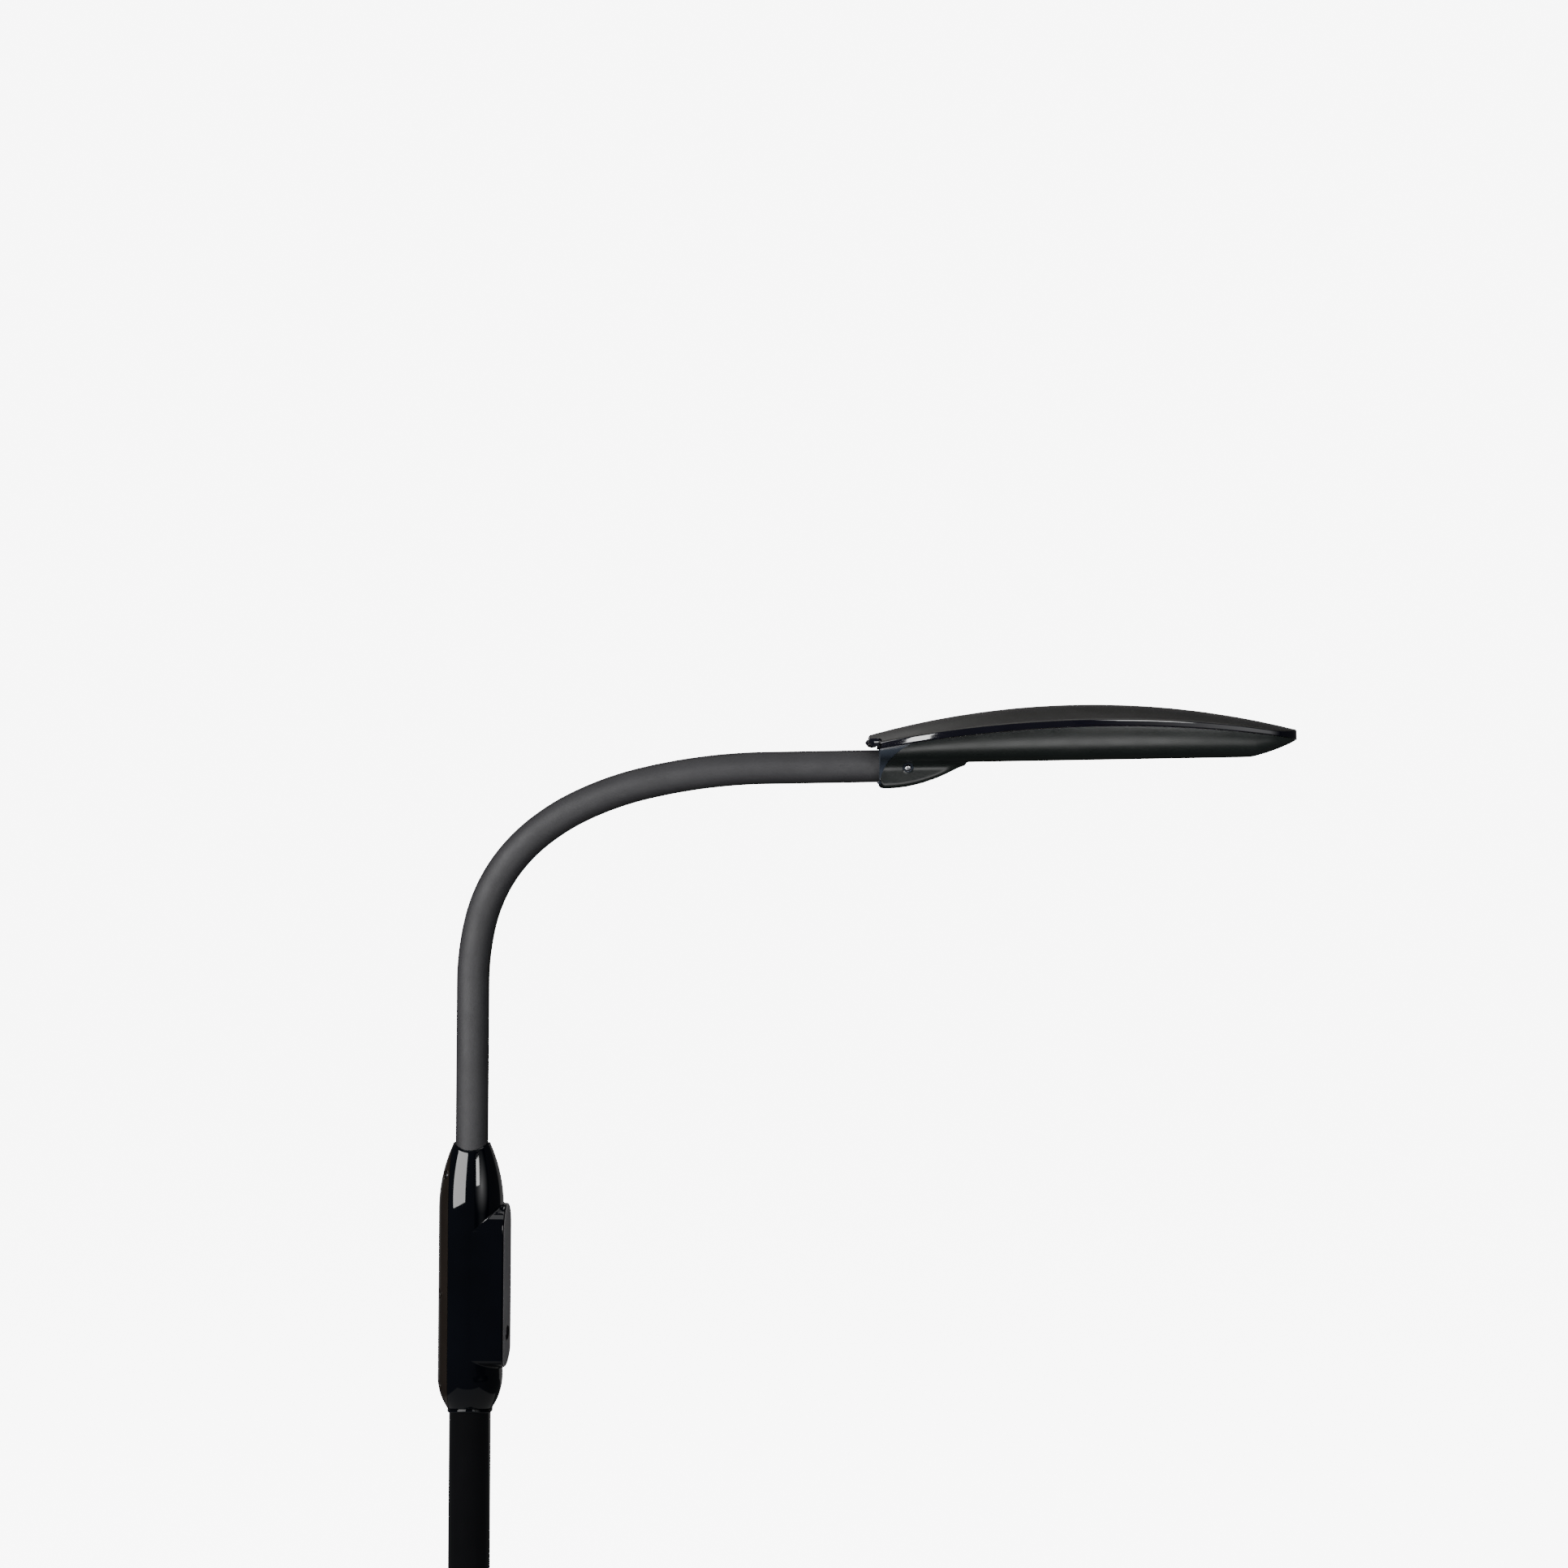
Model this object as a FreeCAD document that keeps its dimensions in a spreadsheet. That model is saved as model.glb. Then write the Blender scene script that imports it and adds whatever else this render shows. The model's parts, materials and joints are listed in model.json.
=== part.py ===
"""Pharmacy floor lamp: weighted base, two-piece pole, control housing, flexible neck and fluorescent head.

Millimetres, +Z up. The origin is the centre of the base pad's underside, on the pole's axis, and the
head reaches towards +X. The head's own pieces are drawn in the head frame, whose X runs along the neck's
end, and the links of the neck are drawn in the frame of the hinge that they start at.
"""
import FreeCAD
import Part
import Sketcher

import math
import os
from types import SimpleNamespace

Vector = FreeCAD.Vector
Rotation = FreeCAD.Rotation
X_AXIS = Vector(1, 0, 0)
Y_AXIS = Vector(0, 1, 0)
Z_AXIS = Vector(0, 0, 1)

# ---------------------------------------------------------------- driving dimensions

DIMENSIONS = {
    # base
    "pad_radius": 132, "pad_height": 2.5,
    "weight_radius": 136, "weight_top": 18, "bolt_well_radius": 16, "bolt_well_top": 9.5,
    "base_radius": 140, "base_wall": 1.5, "base_rim_top": 16, "base_shoulder": 8, "base_top": 32,
    "cord_axis_height": 10, "cord_bore": 3, "gland_flange": 6.5, "gland_neck": 5,
    "bolt_radius": 4, "bolt_end": 36, "foot_top": 40,
    "foot_collar_radius": 27, "foot_collar_top": 46,
    # pole
    "pole_radius": 16, "pole_wall": 1.5, "pole_joint": 356, "pole_top": 674.8, "joiner_length": 60,
    "plug_gap": 0.1, "plug_wall": 2.1,
    "supply_lead_radius": 2.5, "supply_lead_offset": 9.5, "supply_lead_bend": 15,
    # control housing
    "housing_radius": 24.8, "housing_wall": 2.2,
    "housing_bottom": 661.5, "housing_foot_radius": 17, "housing_foot_arc": 45, "housing_waist": 690,
    "housing_shoulder": 815, "housing_shoulder_arc": 121, "housing_top": 866, "housing_top_radius": 13.8,
    "housing_split": 15, "boss_front": 28, "boss_wall": 3.4, "boss_low": 704.5, "boss_high": 799.5,
    "boss_half_width": 24.6, "boss_arch_low": 10, "boss_arch_high": 19.5,
    "panel_half_width": 21.8, "panel_arch_low": 8.2, "panel_arch_high": 17.8, "panel_depth": 1.8,
    "well_radius": 3.75, "well_offset": 10, "screw_low": 681.6, "screw_mid": 751.6, "screw_high": 842,
    "button_height": 719.5, "button_wide": 8, "button_tall": 5, "button_gap": 0.35,
    # neck
    "neck_radius": 12.5, "sleeve_bore": 11, "core_radius": 10.5, "lead_bore": 7, "head_lead_radius": 3.2,
    "ball_radius": 14, "cup_radius": 14.3,
    "neck_start": 812, "sleeve_start": 852, "sway_low": 897, "sway_high": 958, "bend_start": 989,
    "bend_reach": 252, "bend_rise": 165, "bend_power": 2.5, "bend_turn": 88.6, "neck_end": 310.6,
    # head
    "head_length": 322, "head_middle": 145, "head_half_width": 50, "head_side_arc": 708,
    "dome_centre": 155, "dome_arc": 640, "dome_top": 44.6, "dome_across": 104,
    "seam_centre": 165.7, "seam_arc": 994, "seam_top": 26.8, "seam_gap": 0.2,
    "shell_wall": 2.2, "lip_reach": 7, "lip_height": 18,
    "tray_inset": 1.2, "tray_floor": 2.1, "tray_round": 14, "nose_cut": 284.5, "nose_slope": 0.333,
    "cheek_half_width": 21, "cheek_bottom": 17.4, "cheek_arc": 80, "cheek_end": 68,
    "cheek_screw_along": 21.8, "cheek_screw_up": -1.9,
    "opening_start": 90, "opening_end": 275, "opening_radius": 23,
    "tube_radius": 7.5, "tube_offset": 10, "tube_height": 19,
}
BENDS = 7
ARC_OVERRUN = 16


class Size:
    """A number and the expression that gives it from the sheet, so that what is worked out stays bound."""

    def __init__(self, value, text):
        self.value = float(value)
        self.text = text

    @staticmethod
    def of(other):
        if isinstance(other, Size):
            return other
        return Size(other, repr(other))

    def __add__(self, other):
        other = Size.of(other)
        return Size(self.value + other.value, f"({self.text} + {other.text})")

    def __sub__(self, other):
        other = Size.of(other)
        return Size(self.value - other.value, f"({self.text} - {other.text})")

    def __mul__(self, other):
        other = Size.of(other)
        return Size(self.value * other.value, f"({self.text} * {other.text})")

    def __truediv__(self, other):
        other = Size.of(other)
        return Size(self.value / other.value, f"({self.text} / {other.text})")

    def __radd__(self, other):
        return Size.of(other) + self

    def __rsub__(self, other):
        return Size.of(other) - self

    def __neg__(self):
        return self * -1


def root(size):
    return Size(math.sqrt(size.value), f"sqrt({size.text})")


doc = FreeCAD.newDocument("pharmacy_floor_lamp")
sheet = doc.addObject("Spreadsheet::Sheet", "dims")
for row, (alias, value) in enumerate(DIMENSIONS.items(), start=1):
    sheet.set(f"A{row}", alias)
    sheet.set(f"B{row}", str(value))
    sheet.setAlias(f"B{row}", alias)
doc.recompute()
d = SimpleNamespace(**{alias: Size(value, f"dims.{alias}") for alias, value in DIMENSIONS.items()})

nodes = {}


# ---------------------------------------------------------------- drawing helpers

def bind(obj, prop, size):
    """Set a property from a Size, and bind it to the sheet."""
    size = Size.of(size)
    setattr(obj, prop, size.value)
    obj.setExpression(prop, size.text)


def place(obj, at, rotation=None):
    """Put an object at a point whose coordinates may be Sizes."""
    at = [Size.of(value) for value in at]
    obj.Placement = FreeCAD.Placement(Vector(*[size.value for size in at]), rotation or Rotation())
    for name, size in zip("xyz", at):
        obj.setExpression(f".Placement.Base.{name}", size.text)


def keep(label, obj, placement=None):
    """Make an object a sub-part: its label names its file."""
    obj.Label = label
    if placement is not None:
        obj.Placement = placement
    nodes[label] = obj
    return obj


def arc_middle(start, end, radius, bend):
    """The middle of an arc that turns left for a bend of 1 and right for a bend of -1."""
    chord = end - start
    half = chord.Length / 2
    sagitta = radius - math.sqrt(max(0.0, radius * radius - half * half))
    outward = Vector(chord.y, -chord.x, 0).normalize() * bend
    return (start + end) * 0.5 + outward * sagitta


def draw(sketch, corners):
    """Draw a closed outline. A corner is (x, y), or (x, y, radius, bend) where an arc arrives at it."""
    corners = [[Size.of(value) for value in corner] for corner in corners]
    points = [Vector(corner[0].value, corner[1].value, 0) for corner in corners]
    first = sketch.GeometryCount
    ends = []
    for index, corner in enumerate(corners):
        start = points[index - 1]
        end = points[index]
        if len(corner) == 2:
            sketch.addGeometry(Part.LineSegment(start, end))
            ends.append((1, 2))
        else:
            middle = arc_middle(start, end, corner[2].value, corner[3].value)
            left = corner[3].value > 0
            sketch.addGeometry(Part.Arc(start, middle, end) if left else Part.Arc(end, middle, start))
            ends.append((1, 2) if left else (2, 1))
    for index, corner in enumerate(corners):
        here = first + index
        following = (index + 1) % len(corners)
        tip = ends[index][1]
        sketch.addConstraint(
            Sketcher.Constraint("Coincident", here, tip, first + following, ends[following][0]))
        for kind, size in zip(("DistanceX", "DistanceY"), corner):
            added = sketch.addConstraint(Sketcher.Constraint(kind, -1, 1, here, tip, size.value))
            sketch.setExpression(f"Constraints[{added}]", size.text)
        if len(corner) > 2:
            added = sketch.addConstraint(Sketcher.Constraint("Radius", here, corner[2].value))
            sketch.setExpression(f"Constraints[{added}]", corner[2].text)


def draw_circle(sketch, radius, x=0, y=0):
    """Draw a circle about a point."""
    x, y, radius = Size.of(x), Size.of(y), Size.of(radius)
    here = sketch.addGeometry(Part.Circle(Vector(x.value, y.value, 0), Z_AXIS, radius.value))
    for kind, size in (("DistanceX", x), ("DistanceY", y)):
        added = sketch.addConstraint(Sketcher.Constraint(kind, -1, 1, here, 3, size.value))
        sketch.setExpression(f"Constraints[{added}]", size.text)
    added = sketch.addConstraint(Sketcher.Constraint("Radius", here, radius.value))
    sketch.setExpression(f"Constraints[{added}]", radius.text)


def new_body(label):
    return doc.addObject("PartDesign::Body", f"body_{label}")


def sketch_on(body, role, name):
    """A sketch on one of the body's own origin planes: XY_Plane, XZ_Plane or YZ_Plane."""
    sketch = body.newObject("Sketcher::SketchObject", f"{body.Name}_{name}")
    plane = next(feature for feature in body.Origin.OriginFeatures if feature.Role == role)
    sketch.AttachmentSupport = (plane, [""])
    sketch.MapMode = "FlatFace"
    return sketch


def revolve(body, corners, axis="V_Axis", kind="Revolution"):
    """Turn an outline in the XZ plane about the plane's upright or level axis."""
    sketch = sketch_on(body, "XZ_Plane", f"profile{len(body.Group)}")
    draw(sketch, corners)
    turned = body.newObject(f"PartDesign::{kind}", f"{body.Name}_turn{len(body.Group)}")
    turned.Profile = sketch
    turned.ReferenceAxis = (sketch, [axis])
    turned.Angle = 360
    return turned


def extrude(body, role, corners, length, kind="Pad", symmetric=True):
    """Pad or pocket an outline, equally to both sides of its plane unless symmetric is False."""
    sketch = sketch_on(body, role, f"outline{len(body.Group)}")
    draw(sketch, corners)
    made = body.newObject(f"PartDesign::{kind}", f"{body.Name}_{kind}{len(body.Group)}")
    made.Profile = sketch
    bind(made, "Length", length)
    made.Midplane = symmetric
    return made


def bore(body, role, radius, length, x=0, y=0, symmetric=True):
    """Cut a round hole across the body."""
    sketch = sketch_on(body, role, f"bore{len(body.Group)}")
    draw_circle(sketch, radius, x, y)
    cut_hole = body.newObject("PartDesign::Pocket", f"{body.Name}_hole{len(body.Group)}")
    cut_hole.Profile = sketch
    bind(cut_hole, "Length", length)
    cut_hole.Midplane = symmetric
    return cut_hole


def rectangle(low_x, low_y, high_x, high_y):
    return [(low_x, low_y), (high_x, low_y), (high_x, high_y), (low_x, high_y)]


def unique(name):
    """A name that no object of the document has yet."""
    number = 1
    while doc.getObject(f"{name}_{number}"):
        number += 1
    return f"{name}_{number}"


def box(name, low, high):
    made = doc.addObject("Part::Box", unique(name))
    for prop, start, end in zip(("Length", "Width", "Height"), low, high):
        bind(made, prop, Size.of(end) - start)
    place(made, low)
    return made


ALONG = {"X": Rotation(Y_AXIS, 90), "Y": Rotation(X_AXIS, -90), "Z": Rotation()}


def rod(name, radius, length, at, along="Z"):
    """A round bar that starts at a point and runs along +X, +Y or +Z."""
    made = doc.addObject("Part::Cylinder", unique(name))
    bind(made, "Radius", radius)
    bind(made, "Height", length)
    place(made, at, ALONG[along])
    return made


def fuse(name, *shapes):
    made = doc.addObject("Part::MultiFuse", unique(name))
    made.Shapes = list(shapes)
    return made


def common(name, *shapes):
    made = doc.addObject("Part::MultiCommon", unique(name))
    made.Shapes = list(shapes)
    return made


def cut(name, base, *tools):
    made = doc.addObject("Part::Cut", unique(name))
    made.Base = base
    made.Tool = tools[0] if len(tools) == 1 else fuse(f"{name}_tools", *tools)
    return made


def group(name, solids):
    """Several separate solids in one sub-part."""
    made = doc.addObject("Part::Compound", unique(name))
    made.Links = solids
    return made


def free_sketch(name, upright, corners):
    """A sketch in the XY plane, or in the XZ plane when upright, for a solid made outside a body."""
    sketch = doc.addObject("Sketcher::SketchObject", unique(name))
    if upright:
        sketch.Placement = FreeCAD.Placement(Vector(), Rotation(X_AXIS, 90))
    draw(sketch, corners)
    return sketch


def slab(name, corners, half_width):
    """An outline in the XZ plane given a width in Y, the same to both sides."""
    made = doc.addObject("Part::Extrusion", unique(name))
    made.Base = free_sketch(f"{name}_side", True, corners)
    made.DirMode = "Custom"
    made.Dir = Y_AXIS
    bind(made, "LengthFwd", Size.of(half_width) * 2)
    made.Symmetric = True
    made.Solid = True
    return made


def prism(name, corners, low, high):
    """An outline in the XY plane raised from one height to another."""
    made = doc.addObject("Part::Extrusion", unique(name))
    made.Base = free_sketch(f"{name}_plan", False, corners)
    made.DirMode = "Custom"
    made.Dir = Z_AXIS
    bind(made, "LengthFwd", Size.of(high) - low)
    made.Solid = True
    place(made, (0, 0, low))
    return made


def lathe(name, corners, axis, base):
    """An outline in the XZ plane turned about an axis in that plane."""
    made = doc.addObject("Part::Revolution", unique(name))
    made.Source = free_sketch(f"{name}_side", True, corners)
    made.Axis = axis
    made.Base = base
    made.Angle = 360
    made.Solid = True
    return made


def rounded(name, base, picks, radius):
    """Round the edges that a test picks."""
    doc.recompute()
    made = doc.addObject("Part::Fillet", unique(name))
    made.Base = base
    radius = Size.of(radius).value
    edges = enumerate(base.Shape.Edges, start=1)
    made.Edges = [(number, radius, radius) for number, edge in edges if picks(edge)]
    return made


# ---------------------------------------------------------------- base

def make_base():
    pad = new_body("base_pad")
    revolve(pad, rectangle(0, 0, d.pad_radius, d.pad_height))
    keep("base_pad", pad)

    # Cast disc with a well for the bolt's head below and a channel for the lead above.
    weight = new_body("base_weight")
    revolve(weight, [(d.bolt_radius + 0.5, d.bolt_well_top), (d.bolt_well_radius, d.bolt_well_top),
                     (d.bolt_well_radius, d.pad_height), (d.weight_radius - 2, d.pad_height),
                     (d.weight_radius, d.pad_height + 2), (d.weight_radius, d.weight_top - 3),
                     (d.weight_radius - 3, d.weight_top), (d.bolt_radius + 0.5, d.weight_top)])
    extrude(weight, "XZ_Plane",
            rectangle(-d.weight_radius - 1, d.cord_axis_height - d.gland_neck - 0.3,
                      -(d.bolt_radius + 1.5), d.weight_top + 1),
            d.gland_neck * 2 + 0.6, kind="Pocket")
    keep("base_weight", weight)

    # Pressed cover: upright rim, round shoulder and a shallow dome up to the pole.
    cover = new_body("base_cover")
    shoulder_end = d.base_radius - d.base_shoulder
    shoulder_top = d.base_rim_top + d.base_shoulder
    dome_arc = 900
    revolve(cover, [
        (d.base_radius, d.pad_height), (d.base_radius, d.base_rim_top),
        (shoulder_end, shoulder_top, d.base_shoulder, 1),
        (d.pole_radius + 0.4, d.base_top, dome_arc, 1),
        (d.pole_radius + 0.4, d.base_top - d.base_wall),
        (shoulder_end, shoulder_top - d.base_wall, dome_arc - d.base_wall, -1),
        (d.base_radius - d.base_wall, d.base_rim_top, d.base_shoulder - d.base_wall, -1),
        (d.base_radius - d.base_wall, d.pad_height)])
    bore(cover, "YZ_Plane", d.gland_neck + 0.1, d.base_radius + 2, 0, d.cord_axis_height, symmetric=False)
    keep("base_cover", cover)

    gland = new_body("base_gland")
    revolve(gland, [(-d.base_radius - 3, d.cord_bore), (-d.base_radius - 3, d.gland_flange - 1),
                    (-d.base_radius - 2, d.gland_flange), (-d.base_radius - 0.1, d.gland_flange),
                    (-d.base_radius - 0.1, d.gland_neck), (-d.base_radius + 3.5, d.gland_neck),
                    (-d.base_radius + 3.5, d.cord_bore)], axis="H_Axis")
    gland.Placement = FreeCAD.Placement(Vector(0, 0, d.cord_axis_height.value), Rotation())
    keep("base_gland", gland)

    washer = new_body("base_washer")
    revolve(washer, rectangle(d.bolt_radius + 0.3, d.bolt_well_top - 1.6, 11, d.bolt_well_top))
    keep("base_washer", washer)

    bolt = new_body("base_bolt")
    head_top = d.bolt_well_top - 1.6
    across = 7.5
    sixth = math.radians(60)
    extrude(bolt, "XY_Plane", [(across * math.cos(turn * sixth), across * math.sin(turn * sixth))
                               for turn in range(6)], 5, symmetric=False)
    shank = sketch_on(bolt, "XY_Plane", "shank")
    draw_circle(shank, d.bolt_radius)
    pad_up = bolt.newObject("PartDesign::Pad", "bolt_shank")
    pad_up.Profile = shank
    bind(pad_up, "Length", d.bolt_end - head_top + 5)
    keep("base_bolt", bolt, FreeCAD.Placement(Vector(0, 0, head_top.value - 5), Rotation()))

    insert = new_body("pole_foot_insert")
    plug = d.pole_radius - d.pole_wall - d.plug_gap
    revolve(insert, [(d.bolt_radius, d.weight_top), (plug, d.weight_top), (plug, d.foot_top - 1),
                     (plug - 1, d.foot_top), (d.bolt_radius, d.foot_top)])
    extrude(insert, "XY_Plane", rectangle(-plug - 2, -3.4, -d.supply_lead_offset + 2.8, 3.4),
            d.foot_top * 2 + 10, kind="Pocket")
    keep("pole_foot_insert", insert)

    collar = new_body("pole_foot_collar")
    revolve(collar, [(d.pole_radius + 0.2, d.base_top + 0.2), (d.foot_collar_radius, d.base_top),
                     (d.foot_collar_radius, d.base_top + 2.5),
                     (d.pole_radius + 4, d.foot_collar_top - 1.5, 16, -1),
                     (d.pole_radius + 2.5, d.foot_collar_top), (d.pole_radius + 0.2, d.foot_collar_top)])
    keep("pole_foot_collar", collar)


# ---------------------------------------------------------------- pole

def make_pole():
    inner = d.pole_radius - d.pole_wall
    plug = inner - d.plug_gap
    edge = 0.4
    for label, low, high in (("lower_pole", d.weight_top, d.pole_joint),
                             ("upper_pole", d.pole_joint, d.pole_top)):
        tube = new_body(label)
        revolve(tube, [(inner, low), (d.pole_radius - edge, low), (d.pole_radius, low + edge),
                       (d.pole_radius, high - edge), (d.pole_radius - edge, high), (inner, high)])
        keep(label, tube)

    joiner = new_body("pole_joiner")
    reach = d.joiner_length / 2
    revolve(joiner, rectangle(plug - d.plug_wall, d.pole_joint - reach, plug, d.pole_joint + reach))
    keep("pole_joiner", joiner)

    # The adapter plugs into the top of the pole, and its flange carries the control housing.
    adapter = new_body("pole_adapter")
    flange = 18.6
    revolve(adapter, [(plug - d.plug_wall, d.pole_top - 31), (plug, d.pole_top - 31),
                      (plug, d.pole_top + 0.1), (flange, d.pole_top + 0.1), (flange, d.pole_top + 1.5),
                      (plug - d.plug_wall, d.pole_top + 1.5)])
    keep("pole_adapter", adapter)

    ring = new_body("pole_collar_ring")
    revolve(ring, [(d.pole_radius + 0.1, 659), (d.pole_radius + 0.9, 659), (d.pole_radius + 1.3, 659.4),
                   (d.pole_radius + 1.3, 660.8), (d.pole_radius + 0.9, 661.2), (d.pole_radius + 0.1, 661.2)])
    keep("pole_collar_ring", ring)

    # Lead from behind the gland, up through the base and the pole, to the terminals.
    lead = new_body("supply_lead")
    bend = d.supply_lead_bend.value
    turn_x = -d.supply_lead_offset.value
    low = d.cord_axis_height.value
    inner_end = d.base_radius.value - 3.7
    path = sketch_on(lead, "XZ_Plane", "path")
    quarter = math.sqrt(0.5) * bend
    corner = Vector(turn_x - bend, low, 0)
    path.addGeometry(Part.LineSegment(Vector(-inner_end, low, 0), corner))
    path.addGeometry(Part.Arc(corner, Vector(turn_x - bend + quarter, low + bend - quarter, 0),
                              Vector(turn_x, low + bend, 0)))
    path.addGeometry(Part.LineSegment(Vector(turn_x, low + bend, 0), Vector(turn_x, 731, 0)))
    profile = sketch_on(lead, "YZ_Plane", "section")
    draw_circle(profile, d.supply_lead_radius, 0, d.cord_axis_height)
    profile.AttachmentOffset = FreeCAD.Placement(Vector(0, 0, -inner_end), Rotation())
    pipe = lead.newObject("PartDesign::AdditivePipe", "supply_lead_pipe")
    pipe.Profile = profile
    pipe.Spine = (path, ["Edge1", "Edge2", "Edge3"])
    keep("supply_lead", lead)


# ---------------------------------------------------------------- control housing

def housing_outline(inset):
    """Half section of the housing's round body, from the foot up round the shoulder."""
    radius = d.housing_radius - inset
    return [(0, d.housing_bottom + inset), (d.housing_foot_radius - inset, d.housing_bottom + inset),
            (radius, d.housing_waist, d.housing_foot_arc, 1),
            (radius, d.housing_shoulder),
            (d.housing_top_radius - inset, d.housing_top - inset, d.housing_shoulder_arc, 1),
            (0, d.housing_top - inset)]


def oval(name, wide, tall, middle, low, high):
    """An oval bar along X, wider than it is tall, about a height."""
    ellipse = doc.addObject("Part::Ellipse", unique(name))
    bind(ellipse, "MajorRadius", wide)
    bind(ellipse, "MinorRadius", tall)
    place(ellipse, (low, 0, middle), Rotation(Y_AXIS, Z_AXIS, X_AXIS, "ZXY"))
    bar = doc.addObject("Part::Extrusion", unique(name))
    bar.Base = ellipse
    bar.DirMode = "Custom"
    bar.Dir = X_AXIS
    bind(bar, "LengthFwd", Size.of(high) - low)
    bar.Solid = True
    return bar


def arched(name, half_width, arch_low, arch_high, low, high):
    """A bar along X with upright sides and an elliptic arch above and below them."""
    return fuse(name, box(f"{name}_sides", (low, -half_width, d.boss_low), (high, half_width, d.boss_high)),
                oval(f"{name}_foot", half_width, arch_low, d.boss_low, low, high),
                oval(f"{name}_top", half_width, arch_high, d.boss_high, low, high))


def make_housing():
    outer = lathe("housing_round", housing_outline(Size.of(0)), Z_AXIS, Vector())
    inner = lathe("housing_hollow", housing_outline(d.housing_wall), Z_AXIS, Vector())
    boss = arched("boss", d.boss_half_width, d.boss_arch_low, d.boss_arch_high, 0, d.boss_front)
    wall = d.housing_wall
    boss_hollow = arched("boss_hollow", d.boss_half_width - wall, d.boss_arch_low - wall,
                         d.boss_arch_high - wall, 0, d.boss_front - d.boss_wall)

    # The panel lies in a shallow recess of the boss's front.
    fit = 0.15
    recess = arched("recess", d.panel_half_width + fit, d.panel_arch_low + fit, d.panel_arch_high + fit,
                    d.boss_front - d.panel_depth - 0.1, 40)
    panel_blank = arched("panel_blank", d.panel_half_width, d.panel_arch_low, d.panel_arch_high,
                         d.boss_front - d.panel_depth, d.boss_front)
    hole_wide = d.button_wide + d.button_gap
    hole_tall = d.button_tall + d.button_gap
    panel = cut("panel", panel_blank, oval("panel_hole", hole_wide, hole_tall, d.button_height, 20, 40))
    keep("control_panel", panel)

    # Screw bosses stand on ribs that run out to the front shell's side walls.
    split = -d.housing_split
    posts = []
    screws = []
    wells = []
    seats = []
    holes = []
    for height in (d.screw_low, d.screw_mid, d.screw_high):
        for side in (-1, 1):
            across = d.well_offset * side
            post = 2.6 if height is d.screw_high else 3.2
            posts.append(rod("post", post, 5.9, (split + 0.1, across, height), "X"))
            rib_low = across if side > 0 else across - 14
            posts.append(box("rib", (split + 0.1, rib_low, height - 0.8),
                             (split + 6, rib_low + 14, height + 0.8)))
            seats.append(rod("seat", d.well_radius + 1.2, 8, (split - 8.1, across, height), "X"))
            wells.append(rod("well", d.well_radius, 12, (split - 13.4, across, height), "X"))
            holes.append(rod("screw_hole", 1.5, 30, (split - 10, across, height), "X"))
            head = rod("screw_head", 3.1, 1.7, (split - 3.1, across, height), "X")
            shank = rod("screw_shank", 1.5, 6.5, (split - 1.4, across, height), "X")
            slot_bar = box("slot", (split - 3.2, across - 2.2, height - 0.4),
                           (split - 2.4, across + 2.2, height + 0.4))
            slot_cross = box("slot", (split - 3.2, across - 0.4, height - 2.2),
                             (split - 2.4, across + 0.4, height + 2.2))
            screws.append(cut("housing_screw", fuse("screw", head, shank), slot_bar, slot_cross))
    keep("housing_screws", group("housing_screws", screws))

    pole_hole = rod("pole_hole", d.pole_radius + 0.2, 20, (0, 0, d.housing_bottom - 5))
    neck_hole = rod("neck_hole", d.neck_radius + 0.3, 14, (0, 0, d.housing_top - 12))
    hollow = fuse("hollow", inner, boss_hollow)
    solid = fuse("solid", outer, boss)
    shell = cut("shell", solid, hollow)
    walls = fuse("walls", shell, common("posts", outer, fuse("post_set", *posts)))
    front_half = box("front_half", (split + 0.1, -40, 600), (60, 40, 900))
    front = cut("front", common("front_part", walls, front_half), recess, pole_hole, neck_hole,
                oval("button_hole", hole_wide, hole_tall, d.button_height, 15, 40), *holes)
    keep("housing_front", front)

    back_half = box("back_half", (-40, -40, 600), (split - 0.1, 40, 900))
    back_shell = cut("back_shell", outer, inner)
    back_solid = fuse("back_solid", back_shell, common("seats", outer, fuse("seat_set", *seats)))
    back = cut("back", common("back_part", back_solid, back_half), pole_hole, neck_hole, *wells, *holes)
    keep("housing_back", back)

    # Button: an oval cap with a wider foot that the shell's wall holds in.
    wall_inside = d.boss_front - d.boss_wall
    cap = oval("cap", d.button_wide, d.button_tall, d.button_height, wall_inside - 1, d.boss_front + 0.8)
    foot = oval("cap_foot", d.button_wide + 2, d.button_tall + 2, d.button_height, wall_inside - 2.2,
                wall_inside - 0.3)
    keep("power_button", fuse("power_button", cap, foot))

    module_front = 17
    pins = [box("module_pin", (5.5, across - 0.4, 714), (8, across + 0.4, 718)) for across in (-5, 5)]
    module = fuse("module", box("module_case", (8, -9, 709), (module_front, 9, 730)), *pins)
    keep("switch_module", module)

    spring = new_body("button_spring")
    foot_back = wall_inside.value - 2.2
    thick = 0.4
    bow = foot_back - module_front - thick - 0.1
    extrude(spring, "XZ_Plane",
            [(module_front, 712.5), (module_front, 726.5, (7 * 7 + bow * bow) / (2 * bow), 1),
             (module_front + thick, 726.5),
             (module_front + thick, 712.5, (7 * 7 + bow * bow) / (2 * bow), -1)], 5)
    keep("button_spring", spring)

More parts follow.
